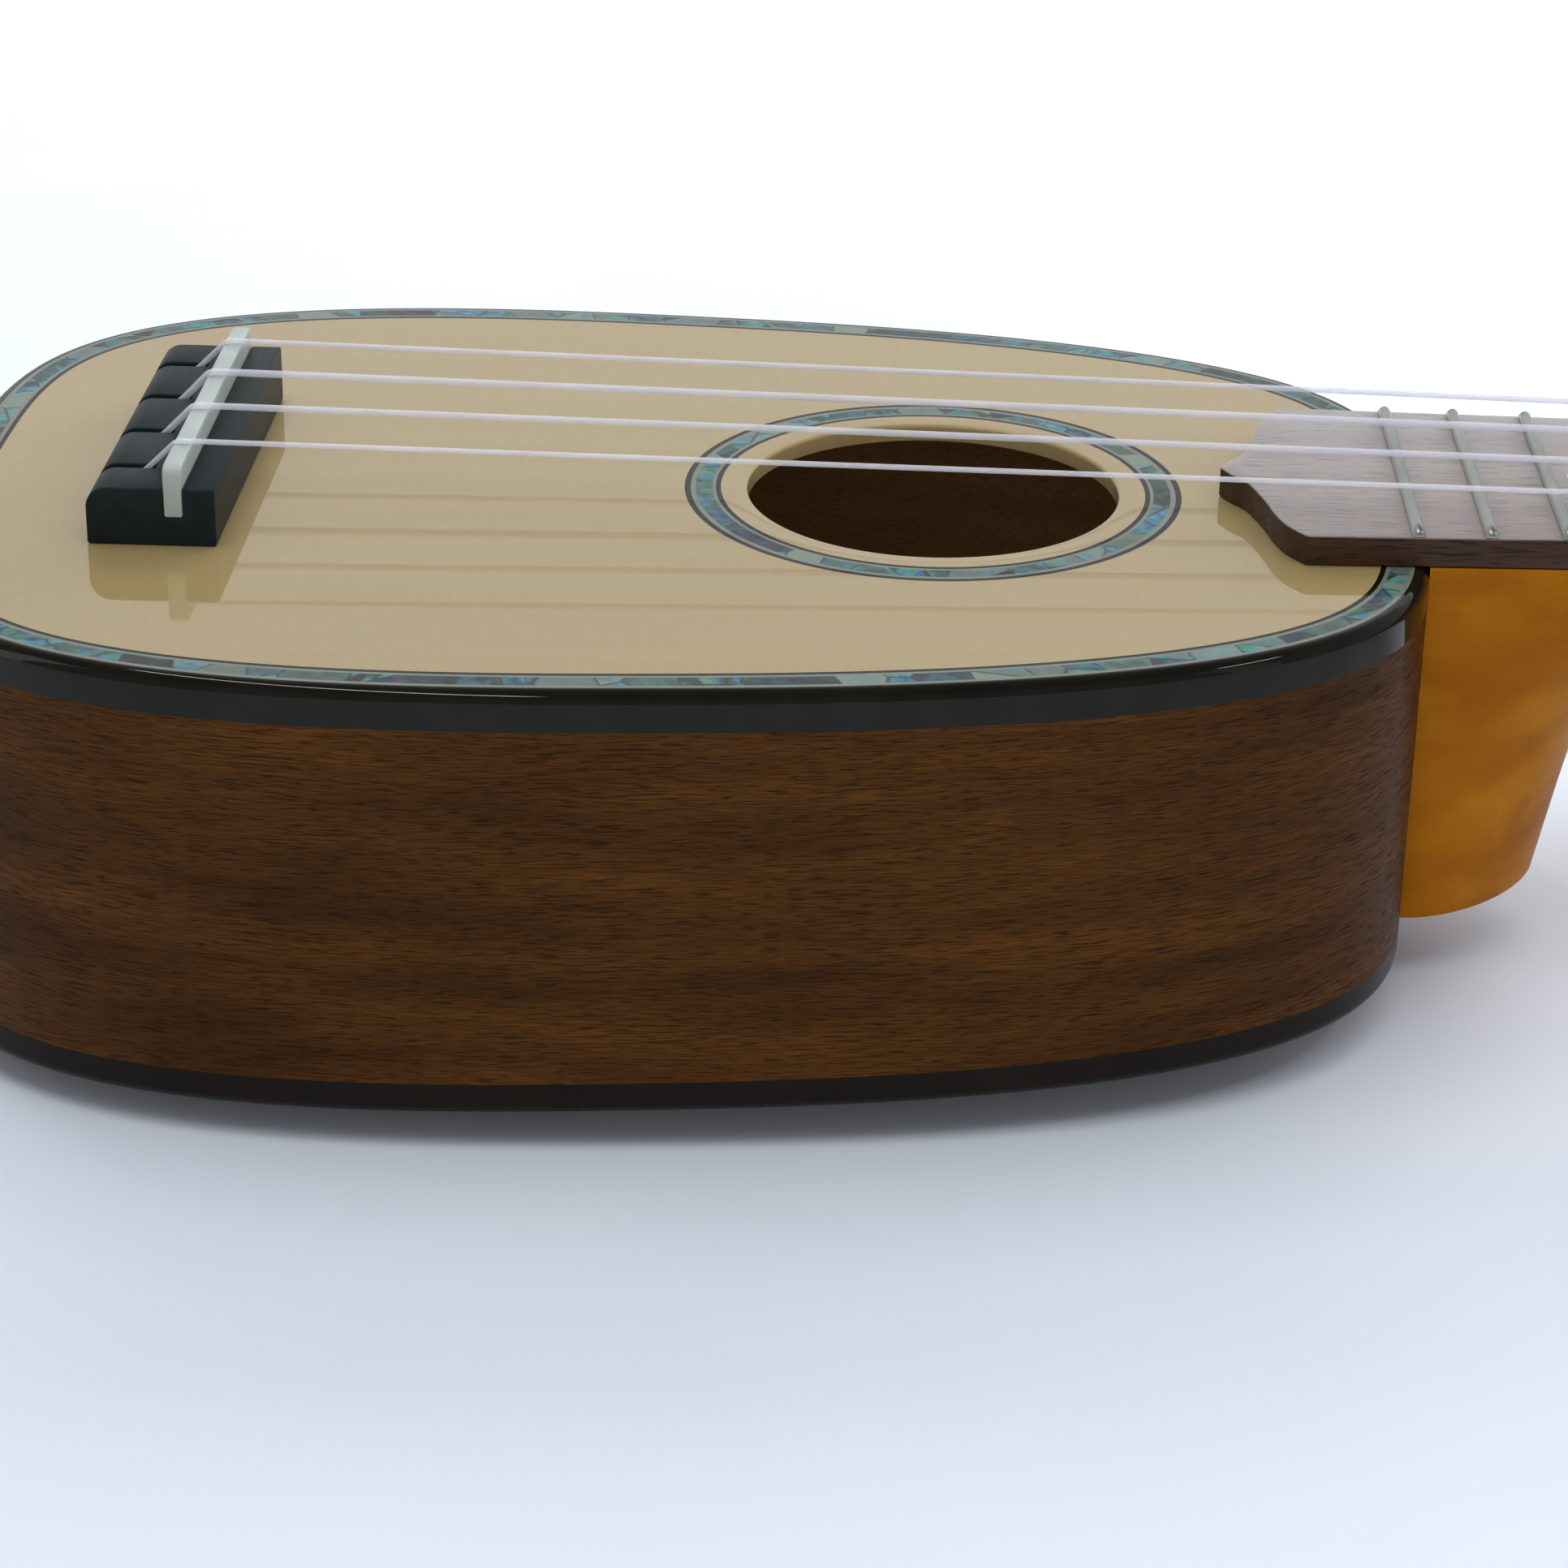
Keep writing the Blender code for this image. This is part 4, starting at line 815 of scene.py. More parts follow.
@dataclass
class SoundBox:
    """The body: top with its inlays, sides, bindings, back and what is glued inside."""

    bench: Bench
    plan: Layout
    side_thickness: float = 0.0018
    plate_thickness: float = 0.0020
    binding_width: float = 0.0017
    top_binding_height: float = 0.0045
    back_binding_height: float = 0.0040
    binding_round: float = 0.0015
    inlay_depth: float = 0.0010
    hole_radius: float = 0.0220
    edge_lines: tuple[tuple[str, str, float], ...] = (
        ("purfling_line_outer", "ivory_line", 0.00055),
        ("purfling_shell", "abalone", 0.00215),
        ("purfling_line_inner", "ivory_line", 0.00050),
        ("purfling_line_black", "black_line", 0.00060))
    rosette_lines: tuple[tuple[str, str, float], ...] = (
        ("rosette_line_black_outer", "black_line", 0.0007),
        ("rosette_line_outer", "ivory_line", 0.0006),
        ("rosette_shell", "abalone", 0.0020),
        ("rosette_line_inner", "ivory_line", 0.0004),
        ("rosette_line_black_inner", "black_line", 0.0006))
    rosette_outer: float = 0.0295
    hole_round: float = 0.0004
    back_rings: tuple[float, ...] = (0.04, 0.2, 0.4, 0.6, 0.8, 0.92, 1.0)

    def build(self) -> None:
        """Build and dress the whole body."""
        self.build_top()
        self.build_lines()
        self.build_rim()
        self.build_back()
        self.bench.dress("bare_limewood", "top_lining", "back_lining", "neck_block",
                         "tail_block", "bridge_plate")
        self.bench.dress("planed_spruce", "upper_top_brace", "lower_top_brace",
                         "upper_back_brace", "lower_back_brace")

    def build_top(self) -> None:
        """Build the soundboard with its hole's softly rounded edge."""
        plan = self.plan
        edge = self.binding_width + sum(width for _, _, width in self.edge_lines)
        inner = self.rosette_outer - sum(width for _, _, width in self.rosette_lines)
        depth = self.inlay_depth + GLUE_GAP
        rounding = arc(self.hole_radius + self.hole_round, self.hole_round, self.hole_round,
                       90.0, 180.0, 4)
        rows = [plan.flat(plan.outline(self.binding_width), self.plate_thickness),
                plan.flat(plan.outline(self.binding_width), depth),
                plan.flat(plan.outline(edge), depth), plan.flat(plan.outline(edge)),
                plan.flat(plan.circle(self.rosette_outer)),
                plan.flat(plan.circle(self.rosette_outer), depth),
                plan.flat(plan.circle(inner), depth), plan.flat(plan.circle(inner))]
        rows += [plan.flat(plan.circle(radius), 2.0 * self.hole_round - drop)
                 for radius, drop in rounding]
        rows.append(plan.flat(plan.circle(self.hole_radius), self.plate_thickness))
        self.bench.add("soundboard_fine", skin(rows, True, True), "lacquered_spruce",
                       ["soundboard"])

    def build_lines(self) -> None:
        """Lay the fine lines and the shell round the edge and round the hole."""
        plan = self.plan
        jobs = (("shell_purfling", self.edge_lines, self.binding_width, plan.outline, 1.0),
                ("shell_rosette", self.rosette_lines, self.rosette_outer, plan.circle, -1.0))
        for node, lines, start, shape, way in jobs:
            for name, finish, width in lines:
                end = start + way * width
                rows = [plan.flat(shape(start)), plan.flat(shape(end)),
                        plan.flat(shape(end), self.inlay_depth),
                        plan.flat(shape(start), self.inlay_depth)]
                stands_for = [node] if finish == "abalone" else []
                self.bench.add(name, skin(rows, True, True), finish, stands_for)
                start = end

    def build_rim(self) -> None:
        """Build the bent sides and both bindings."""
        plan = self.plan
        outer = plan.outline(0.0)
        low = self.back_binding_height
        rows = [plan.on_rim(outer, low), plan.flat(outer, self.top_binding_height),
                plan.flat(plan.outline(self.side_thickness), self.top_binding_height),
                plan.on_rim(plan.outline(self.side_thickness), low)]
        middle = Vector((plan.tail_x + plan.body_length / 2.0, 0.0, 0.0))
        self.bench.add("bent_sides", skin(rows, True, True), "satin_mahogany",
                       ["side_treble", "side_bass"],
                       second=("bare_mahogany",
                               lambda face: face.normal.dot(face.center - middle) < 0.0
                               and abs(face.normal.z) < 0.5))
        rounding = arc(self.binding_round, self.binding_round, self.binding_round,
                       180.0, 270.0, 8)
        inner = plan.outline(self.binding_width)
        rows = [plan.flat(outer, self.top_binding_height)]
        rows += [plan.flat(plan.outline(inset), drop) for inset, drop in rounding]
        rows += [plan.flat(inner), plan.flat(inner, self.top_binding_height)]
        self.bench.add("top_binding_fine", skin(rows, True, True), "black_celluloid",
                       ["top_binding"], smooth=50.0)
        rows = [plan.on_rim(outer, self.back_binding_height)]
        rows += [plan.on_rim(plan.outline(inset), rise) for inset, rise in rounding]
        rows += [plan.on_rim(inner, 0.0), plan.on_rim(inner, self.back_binding_height)]
        # The lower binding takes the copy of black celluloid with painted shade.
        self.bench.add("back_binding_fine", skin(rows, True, True), "black_celluloid_painted_shade",
                       ["back_binding"], smooth=50.0)

    def build_back(self) -> None:
        """Build the arched back as rings that rise from its lowest point."""
        plan = self.plan
        edge = plan.outline(self.binding_width)
        middle = np.array((plan.saddle_x + plan.back_low_from_saddle, 0.0))
        lower = []
        for share in self.back_rings:
            ring = middle + share * (edge - middle)
            lower.append([(p[0], p[1], share ** 2 * plan.rim_bottom(e[0]))
                          for p, e in zip(ring, edge)])
        upper = [[(x, y, z + self.plate_thickness) for x, y, z in row] for row in lower]
        self.bench.add("arched_back", skin(lower + upper[::-1], False, True), "back_mahogany",
                       ["back"], second=("bare_mahogany", lambda face: face.normal.z > 0.5))


@dataclass
class Bridge:
    """The slotted bridge and the saddle that stands in it."""

    bench: Bench
    plan: Layout
    front: float = 0.0031
    rear: float = -0.0117
    half_length: float = 0.0253
    rounding: float = 0.0025
    saddle_thickness: float = 0.0020
    saddle_foot: float = 0.0034
    saddle_round: float = 0.0012
    saddle_play: float = 0.00002
    # A string's slot and the wider pocket for its knot: width, floor, top, where it ends.
    slots: tuple[tuple[float, float, float, float], ...] = (
        (0.0013, 0.0020, 0.0080, -0.0048), (0.0030, 0.0014, 0.0044, -0.0082))

    def build(self) -> None:
        """Build the bridge and the saddle."""
        plan = self.plan
        rear = plan.saddle_x + self.rear
        nose = plan.saddle_x + self.front
        crown = plan.top + plan.bridge_height
        profile = [(rear, plan.top + GLUE_GAP), (nose, plan.top + GLUE_GAP), (nose, crown)]
        profile += arc(rear + self.rounding, crown - self.rounding, self.rounding,
                       90.0, 180.0, 10)
        saddle_x = plan.saddle_x + plan.saddle_centre
        half = self.saddle_thickness / 2.0
        reach = self.half_length + OVERSHOOT
        tools = [self.bench.cutter(box((saddle_x - half - GLUE_GAP, -reach,
                                        plan.top + self.saddle_foot),
                                       (saddle_x + half + GLUE_GAP, reach, crown + OVERSHOOT)))]
        for number in range(4):
            y = (number - 1.5) * plan.string_gap_saddle
            for width, low, high, end in self.slots:
                tools.append(self.bench.cutter(box(
                    (rear - OVERSHOOT, y - width / 2.0, plan.top + low),
                    (plan.saddle_x + end, y + width / 2.0, plan.top + high))))
        self.bench.add("bridge_fine", bar_across(profile, self.half_length),
                       "black_bridge_wood", ["bridge"], bevel_mm=0.22, cutters=tools)
        self.build_saddle(saddle_x, half + GLUE_GAP - self.saddle_play)

    def build_saddle(self, middle_x: float, wall: float) -> None:
        """Build the saddle, with its upper corners rounded, a close fit in its slot.

        Args:
            middle_x: where its middle stands.
            wall: half its thickness.
        """
        plan, turn = self.plan, self.saddle_round
        foot = plan.top + self.saddle_foot + self.saddle_play
        crest = plan.top + plan.saddle_top
        end = self.half_length - self.saddle_play
        outline = [(-end, foot), (end, foot)]
        outline += arc(self.half_length - turn, crest - turn, turn, 0.0, 90.0, 5)
        outline += arc(-self.half_length + turn, crest - turn, turn, 90.0, 180.0, 5)
        rows = [[(middle_x + side * wall, y, z) for y, z in outline] for side in (-1.0, 1.0)]
        self.bench.add("saddle_fine", skin(rows, False, True), "milky_bone", ["saddle"],
                       bevel_mm=0.3)


def width_along(places: Profile) -> Callable[[float], float]:
    """Give a function that reads a width off a smooth curve through (place, width) pairs.

    Args:
        places: the pairs, in order.

    Returns:
        The function from a place to a width.
    """
    curve = smooth_through(places, 8)
    xs = [x for x, _ in curve]
    ys = [y for _, y in curve]
    return lambda x: float(np.interp(x, xs, ys))


@dataclass
class Neck:
    """Neck, heel and headstock in one piece, with fretboard, frets, nut and veneer."""

    bench: Bench
    plan: Layout
    board_thickness: float = 0.0036
    half_width_body: float = 0.02175
    half_width_nut: float = 0.0175
    shoulder: float = 0.1270
    depth_body: float = 0.0140
    depth_nut: float = 0.0120
    heel_depth: float = 0.0466
    heel_half_width: float = 0.0172
    heel_reach: float = 0.0173
    heel_lean: float = 0.0090
    heel_sweep: float = 0.0700
    heel_sweep_power: float = 6.0
    heel_plan_power: float = 1.7
    heel_plan_root: float = 0.65
    shaft_power: float = 2.6
    shaft_root: float = 2.2
    rake: float = math.radians(12.0)
    head_thickness: float = 0.0100
    head_round: float = 0.0012
    head_round_from: float = 0.8
    bore_radius: float = 0.0033
    veneer_thickness: float = 0.0012
    nut_thickness: float = 0.0040
    nut_height: float = 0.0060
    nut_round: float = 0.0016
    notch_radii: tuple[float, ...] = (0.00032, 0.00041, 0.00045, 0.00035)
    notch_play: float = 0.00012
    notch_sink: float = 0.0005
    fret_width: float = 0.0015
    fret_height: float = 0.0009
    frets: int = 12
    fret_dressing: float = 0.0009
    dots: tuple[int, ...] = (5, 7, 10)
    dot_radius: float = 0.0022
    posts: tuple[tuple[int, float, float], ...] = (
        (1, 0.034, -0.0145), (2, 0.076, -0.0145), (3, 0.076, 0.0145), (4, 0.034, 0.0145))
    head_shape: tuple[tuple[float, float], ...] = (
        (0.0, 0.0176), (0.004, 0.0180), (0.008, 0.0194), (0.012, 0.0210), (0.016, 0.0221),
        (0.022, 0.0229), (0.060, 0.0240), (0.095, 0.0245), (0.100, 0.0236), (0.104, 0.0209),
        (0.1062, 0.0165), (0.1075, 0.0100))
    head_width: Callable[[float], float] = field(init=False)

    def __post_init__(self) -> None:
        """Prepare the headstock's smooth outline."""
        self.head_width = width_along(self.head_shape)

    @property
    def start_x(self) -> float:
        """Where the neck's wood begins."""
        return self.plan.body_end_x + 0.0003

    @property
    def head_x(self) -> float:
        """Where the headstock's face begins."""
        return self.plan.nut_x + self.nut_thickness + 0.0006

    def head_frame(self) -> Matrix:
        """Give the headstock's own frame: X along its face, Y to the bass side, Z out of it."""
        return Matrix.Translation((self.head_x, 0.0, self.plan.top)) @ Matrix.Rotation(
            self.rake, 4, "Y")

    def board_half_width(self, x: float) -> float:
        """Give half the fretboard's width at a place along it."""
        shoulder_x = self.plan.saddle_x + self.shoulder
        share = (x - shoulder_x) / (self.plan.nut_x - shoulder_x)
        return self.half_width_body + (self.half_width_nut - self.half_width_body) * share

    def half_width(self, x: float, drop: float) -> float:
        """Give half the neck's width at a place and a depth below its face.

        Args:
            x: the place along the neck.
            drop: the depth below the face.

        Returns:
            The half width, 0 where there is no wood.
        """
        top = self.board_half_width(x)
        share = (x - self.start_x) / (self.plan.nut_x - self.start_x)
        depth = self.depth_body + (self.depth_nut - self.depth_body) * share
        shaft = 0.0
        if drop < depth:
            shaft = top * (1.0 - (drop / depth) ** self.shaft_power) ** (1.0 / self.shaft_root)
        up = (self.heel_depth - drop) / self.heel_depth
        sweep = self.heel_sweep * up ** self.heel_sweep_power
        reach = self.heel_reach + self.heel_lean * up + sweep
        width = self.heel_half_width + (top - self.heel_half_width) * min(1.0, up * 1.25) ** 0.8
        along = max(0.0, x - self.start_x) / reach
        heel = 0.0
        if along < 1.0:
            heel = width * (1.0 - along ** self.heel_plan_power) ** self.heel_plan_root
        return max(shaft, heel)

    def depth_at(self, x: float) -> float:
        """Give how deep the neck is at a place along it, by halving until the width vanishes."""
        if self.half_width(x, self.heel_depth) > 0.0:
            return self.heel_depth
        shallow, deep = 0.0, self.heel_depth
        for _ in range(40):
            middle = (shallow + deep) / 2.0
            if self.half_width(x, middle) > 0.0:
                shallow = middle
            else:
                deep = middle
        return shallow

    def shaft_section(self, x: float, levels: int) -> list[Point]:
        """Give one closed section of the neck, down the treble side and up the bass side."""
        depth = self.depth_at(x)
        drops = [depth * math.sin(math.pi / 2.0 * k / levels) for k in range(levels + 1)]
        treble = [(x, -self.half_width(x, drop), self.plan.top - drop) for drop in drops]
        treble[-1] = (x, -max(self.half_width(x, depth), 0.0003), self.plan.top - depth)
        return treble + [(px, -py, pz) for px, py, pz in treble[::-1]]

    def head_section(self, from_nut: float, levels: int) -> list[Point]:
        """Give one closed section of the headstock, with its back edges rounded over."""
        half = self.head_width(from_nut)
        face = self.plan.top - from_nut * math.tan(self.rake)
        thickness = self.head_thickness / math.cos(self.rake)
        x = self.head_x + from_nut
        treble = []
        for k in range(levels + 1):
            share = k / levels
            low = max(0.0, (share - self.head_round_from) / (1.0 - self.head_round_from))
            inset = self.head_round * (1.0 - math.sqrt(max(0.0, 1.0 - low * low)))
            treble.append((x, -(half - inset), face - thickness * share))
        return treble + [(px, -py, pz) for px, py, pz in treble[::-1]]

    def build(self) -> None:
        """Build and dress everything on the neck."""
        self.build_wood()
        self.build_board()
        self.build_frets()
        self.build_nut()
        self.build_veneer()

    def build_wood(self) -> None:
        """Build the neck's wood and bore it for the string posts."""
        levels = 26
        steps = [-0.004] + list(np.linspace(0.0, 0.0150, 16))
        steps += list(np.linspace(0.0154, 0.0246, 30))
        steps += [0.0255, 0.0268, 0.0285, 0.0310, 0.0345, 0.040, 0.048, 0.065, 0.09, 0.12]
        rows = [self.shaft_section(self.start_x + step, levels) for step in steps]
        rows.append(self.shaft_section(self.head_x - 0.0003, levels))
        heads = list(np.linspace(0.0030, 0.0220, 14)) + [0.04, 0.06, 0.08]
        heads += list(np.linspace(0.093, 0.1074, 16))
        rows += [self.head_section(step, levels) for step in heads]
        curve = self.plan.outline(-0.00003)
        block = [self.plan.flat(curve, below) for below in (-0.01, 0.06)]
        tools = [self.bench.cutter(skin(block, False, True))]
        tools += self.post_bores()
        self.bench.add("neck_fine", skin(rows, False, True), "amber_neck", ["neck"],
                       smooth=38.0, cutters=tools)

    def post_bores(self) -> list[bpy.types.Object]:
        """Make the cutters that bore the headstock for the string posts."""
        profile = ((self.bore_radius, -0.020), (self.bore_radius, 0.010))
        return [self.bench.cutter(turned(profile, 32), self.head_frame()
                                  @ Matrix.Translation((along, across, 0.0)))
                for _, along, across in self.posts]

    def bracket_end(self) -> list[tuple[float, float]]:
        """Give the bass half of the board's carved end, from its tip to the shoulder."""
        shape = [(-0.0086, 0.0), (-0.0074, 0.0024), (-0.0056, 0.0052), (-0.0040, 0.0110),
                 (-0.0032, 0.0150), (-0.0020, 0.0186), (0.0, self.half_width_body)]
        shoulder_x = self.plan.saddle_x + self.shoulder
        return [(shoulder_x + x, y) for x, y in smooth_through(shape, 8)]

    def build_board(self) -> None:
        """Build the fretboard and its dots."""
        bass = self.bracket_end() + [(self.plan.nut_x - 0.0001, self.half_width_nut)]
        plan_points = bass + [(x, -y) for x, y in bass[:0:-1]]
        top = self.plan.top
        rows = [[(x, y, top + z) for x, y in plan_points]
                for z in (GLUE_GAP, self.board_thickness)]
        # Upward faces take the rosewood with painted haze, a paler grey standing in for
        # reflection; the edges keep the darker brown.
        self.bench.add("fretboard_fine", skin(rows, False, True), "waxed_rosewood",
                       ["fretboard"], bevel_mm=0.25, smooth=30.0,
                       second=("rosewood_with_painted_haze", lambda face: face.normal.z > 0.7))
        for fret in self.dots:
            x = (self.fret_x(fret) + self.fret_x(fret - 1)) / 2.0
            dot = turned(((self.dot_radius, -0.0005), (self.dot_radius, 0.00002)), 32)
            self.bench.add("fret_dot_%02d" % fret, dot, "pearl_dot",
                           place=Matrix.Translation((x, 0.0, top + self.board_thickness)))

    def fret_x(self, number: int) -> float:
        """Give where a fret stands; each shortens the string by a semitone."""
        return self.plan.saddle_x + self.plan.scale_length * 2.0 ** (-number / 12.0)

    def build_frets(self) -> None:
        """Build the frets as crowned wires whose ends are dressed round."""
        seat = self.plan.top + self.board_thickness + GLUE_GAP
        for number in range(1, self.frets + 1):
            x = self.fret_x(number)
            half = self.board_half_width(x) - 0.0002
            rows = []
            for place in np.linspace(-1.0, 1.0, 15):
                y = half * math.sin(place * math.pi / 2.0)
                left = max(0.0, (abs(y) - (half - self.fret_dressing)) / self.fret_dressing)
                rise = self.fret_height * math.sqrt(max(0.04, 1.0 - left * left))
                rows.append([(x + self.fret_width / 2.0 * math.cos(a), y,
                              seat + rise * math.sin(a)) for a in
                             [math.pi * k / 10.0 for k in range(11)]])
            self.bench.add("fret_wire_%02d" % number, skin(rows, False, True), "nickel_silver",
                           ["fret_%02d" % number], smooth=50.0)

    def build_nut(self) -> None:
        """Build the nut with its string notches."""
        x = self.plan.nut_x
        back = x + self.nut_thickness
        top = self.plan.top
        turn, crest = self.nut_round, top + self.nut_height
        profile = [(x, top + GLUE_GAP), (back, top + GLUE_GAP), (back, crest - 0.0014)]
        profile += arc(x + turn, crest - turn, turn, 60.0, 90.0, 3)
        profile += [(x, crest)]
        tools = []
        for number, radius in enumerate(self.notch_radii):
            y = (number - 1.5) * self.plan.string_gap_nut
            half = radius + self.notch_play
            floor = top + self.plan.string_height_nut - radius - self.notch_sink
            tools.append(self.bench.cutter(box((x - OVERSHOOT, y - half, floor),
                                               (back + OVERSHOOT, y + half, top + 0.009))))
        self.bench.add("nut_fine", bar_across(profile, self.half_width_nut), "milky_bone",
                       ["nut"], bevel_mm=0.15, cutters=tools)

    def build_veneer(self) -> None:
        """Build the headstock's rosewood face and bore it for the posts."""
        places = list(np.linspace(0.0008, 0.0220, 16)) + [0.04, 0.06, 0.08]
        places += list(np.linspace(0.093, 0.1066, 16))
        bass = [(p / math.cos(self.rake), self.head_width(p) - 0.0002) for p in places]
        outline = bass + [(x, -y) for x, y in bass[::-1]]
        rows = [[(x, y, z) for x, y in outline]
                for z in (GLUE_GAP, GLUE_GAP + self.veneer_thickness)]
        # The veneer takes the rosewood whose pale grey is partly painted reflection.
        self.bench.add("headstock_face", skin(rows, False, True), "rosewood_with_painted_haze",
                       ["headstock_veneer"], place=self.head_frame(), bevel_mm=0.25,
                       cutters=self.post_bores(), smooth=30.0)


def squared(value: float) -> float:
    """Push a sine or cosine outwards a little, which squares an oval's corners."""
    return math.copysign(abs(value) ** 0.9, value)


@dataclass
class Tuner:
    """One open-geared tuner: its post, gear, worm, plate, button and fastenings."""

    bench: Bench
    number: int
    place: Matrix
    side: float
    worm_offset: float = 0.0066
    worm_depth: float = -0.0139
    button_from_post: float = 0.0190
    button_half: Point = (0.0056, 0.0070, 0.0033)
    button_power: float = 2.4
    post_profile: tuple[tuple[float, float], ...] = (
        (0.0019, -0.0158), (0.0019, -0.0100), (0.0030, -0.0100), (0.0030, 0.0043),
        (0.0027, 0.0045), (0.0024, 0.0050), (0.0024, 0.0085), (0.0027, 0.0091),
        (0.0030, 0.0094), (0.0030, 0.0104), (0.0028, 0.0108), (0.0022, 0.0110))
    post_hole: Point = (0.0006, 0.005, 0.0066)
    post_hole_turn: float = math.radians(55.0)
    ferrule_profile: tuple[tuple[float, float], ...] = (
        (0.0031, -0.0020), (0.0031, 0.0022), (0.0036, 0.0024), (0.0044, 0.0020),
        (0.0046, 0.0014), (0.00325, 0.0014), (0.00325, -0.0020))
    collar_profile: tuple[tuple[float, float], ...] = (
        (0.0014, 0.0), (0.0022, 0.0003), (0.0024, 0.0012), (0.0020, 0.0024), (0.0016, 0.0030))
    screw_profile: tuple[tuple[float, float], ...] = (
        (0.00145, 0.0), (0.00145, 0.0002), (0.0011, 0.00055), (0.0005, 0.0007))
    plate_face: float = -0.0113

    @property
    def post_body(self) -> str:
        """The body of the string post and its gear."""
        return "tuner_post_%d" % self.number

    @property
    def shaft_body(self) -> str:
        """The body of the worm shaft and its button."""
        return "tuner_shaft_%d" % self.number

    def build(self) -> None:
        """Build the finer pieces and dress the rest."""
        n = self.number
        self.bench.dress("nickel_plate", "tuner_plate_%d" % n, "worm_shaft_%d" % n)
        self.bench.dress("cut_brass", "gear_%d" % n)
        self.build_post()
        self.build_bushing()
        self.build_button()
        self.build_screws()

    def build_post(self) -> None:
        """Build the post with its waisted groove, a domed top and a cross hole."""
        radius, reach, height = self.post_hole
        drill = turned(((radius, -reach), (radius, reach)), 16)
        place = self.place @ Matrix.Translation((0.0, 0.0, height)) @ Matrix.Rotation(
            self.post_hole_turn, 4, "Z") @ Matrix.Rotation(math.pi / 2.0, 4, "X")
        self.bench.add("post_fine_%d" % self.number, turned(self.post_profile), "nickel_plate",
                       ["string_post_%d" % self.number], self.post_body, self.place,
                       cutters=[self.bench.cutter(drill, place)])

    def build_bushing(self) -> None:
        """Build the ferrule that lines the post's hole on the headstock's face."""
        self.bench.add("bushing_%d" % self.number, turned(self.ferrule_profile, ring=True),
                       "nickel_plate", place=self.place)

    def build_button(self) -> None:
        """Build the pearl button: a flattened oval with a turned collar at its stem."""
        rx, ry, rz = self.button_half
        rows = []
        for k in range(1, 24):
            t = -math.cos(math.pi * k / 24.0)
            swell = (1.0 - abs(t) ** self.button_power) ** (1.0 / self.button_power)
            row = []
            for j in range(40):
                c, d = (squared(f(FULL_TURN * j / 40)) for f in (math.cos, math.sin))
                row.append((rx * swell * c, ry * t, rz * swell * d))
            rows.append(row)
        middle = Matrix.Translation((self.worm_offset, self.side * self.button_from_post,
                                     self.worm_depth))
        self.bench.add("button_fine_%d" % self.number, skin(rows, False, True), "pearl_acrylic",
                       ["button_%d" % self.number], self.shaft_body, self.place @ middle)
        start = self.button_from_post - self.button_half[1] - 0.0021
        turn = Matrix.Rotation(-self.side * math.pi / 2.0, 4, "X")
        place = Matrix.Translation((self.worm_offset, self.side * start, self.worm_depth))
        self.bench.add("button_collar_%d" % self.number, turned(self.collar_profile),
                       "nickel_plate", body=self.shaft_body, place=self.place @ place @ turn)

    def build_screws(self) -> None:
        """Build the plate's two wood screws and the screw that holds the gear."""
        over = Matrix.Rotation(math.pi, 4, "X")
        spots = (("plate_screw_a", -0.0056, self.plate_face, -self.side * 0.0042, ROOT),
                 ("plate_screw_b", 0.0112, self.plate_face, -self.side * 0.0042, ROOT),
                 ("gear_screw", 0.0, -0.0159, 0.0, self.post_body))
        for name, along, depth, across, body in spots:
            place = self.place @ Matrix.Translation((along, across, depth)) @ over
            slot = self.bench.cutter(box((-0.003, -0.00017, 0.00035), (0.003, 0.00017, 0.002)),
                                     place)
            self.bench.add("%s_%d" % (name, self.number), turned(self.screw_profile, 24),
                           "nickel_plate", body=body, place=place, cutters=[slot])


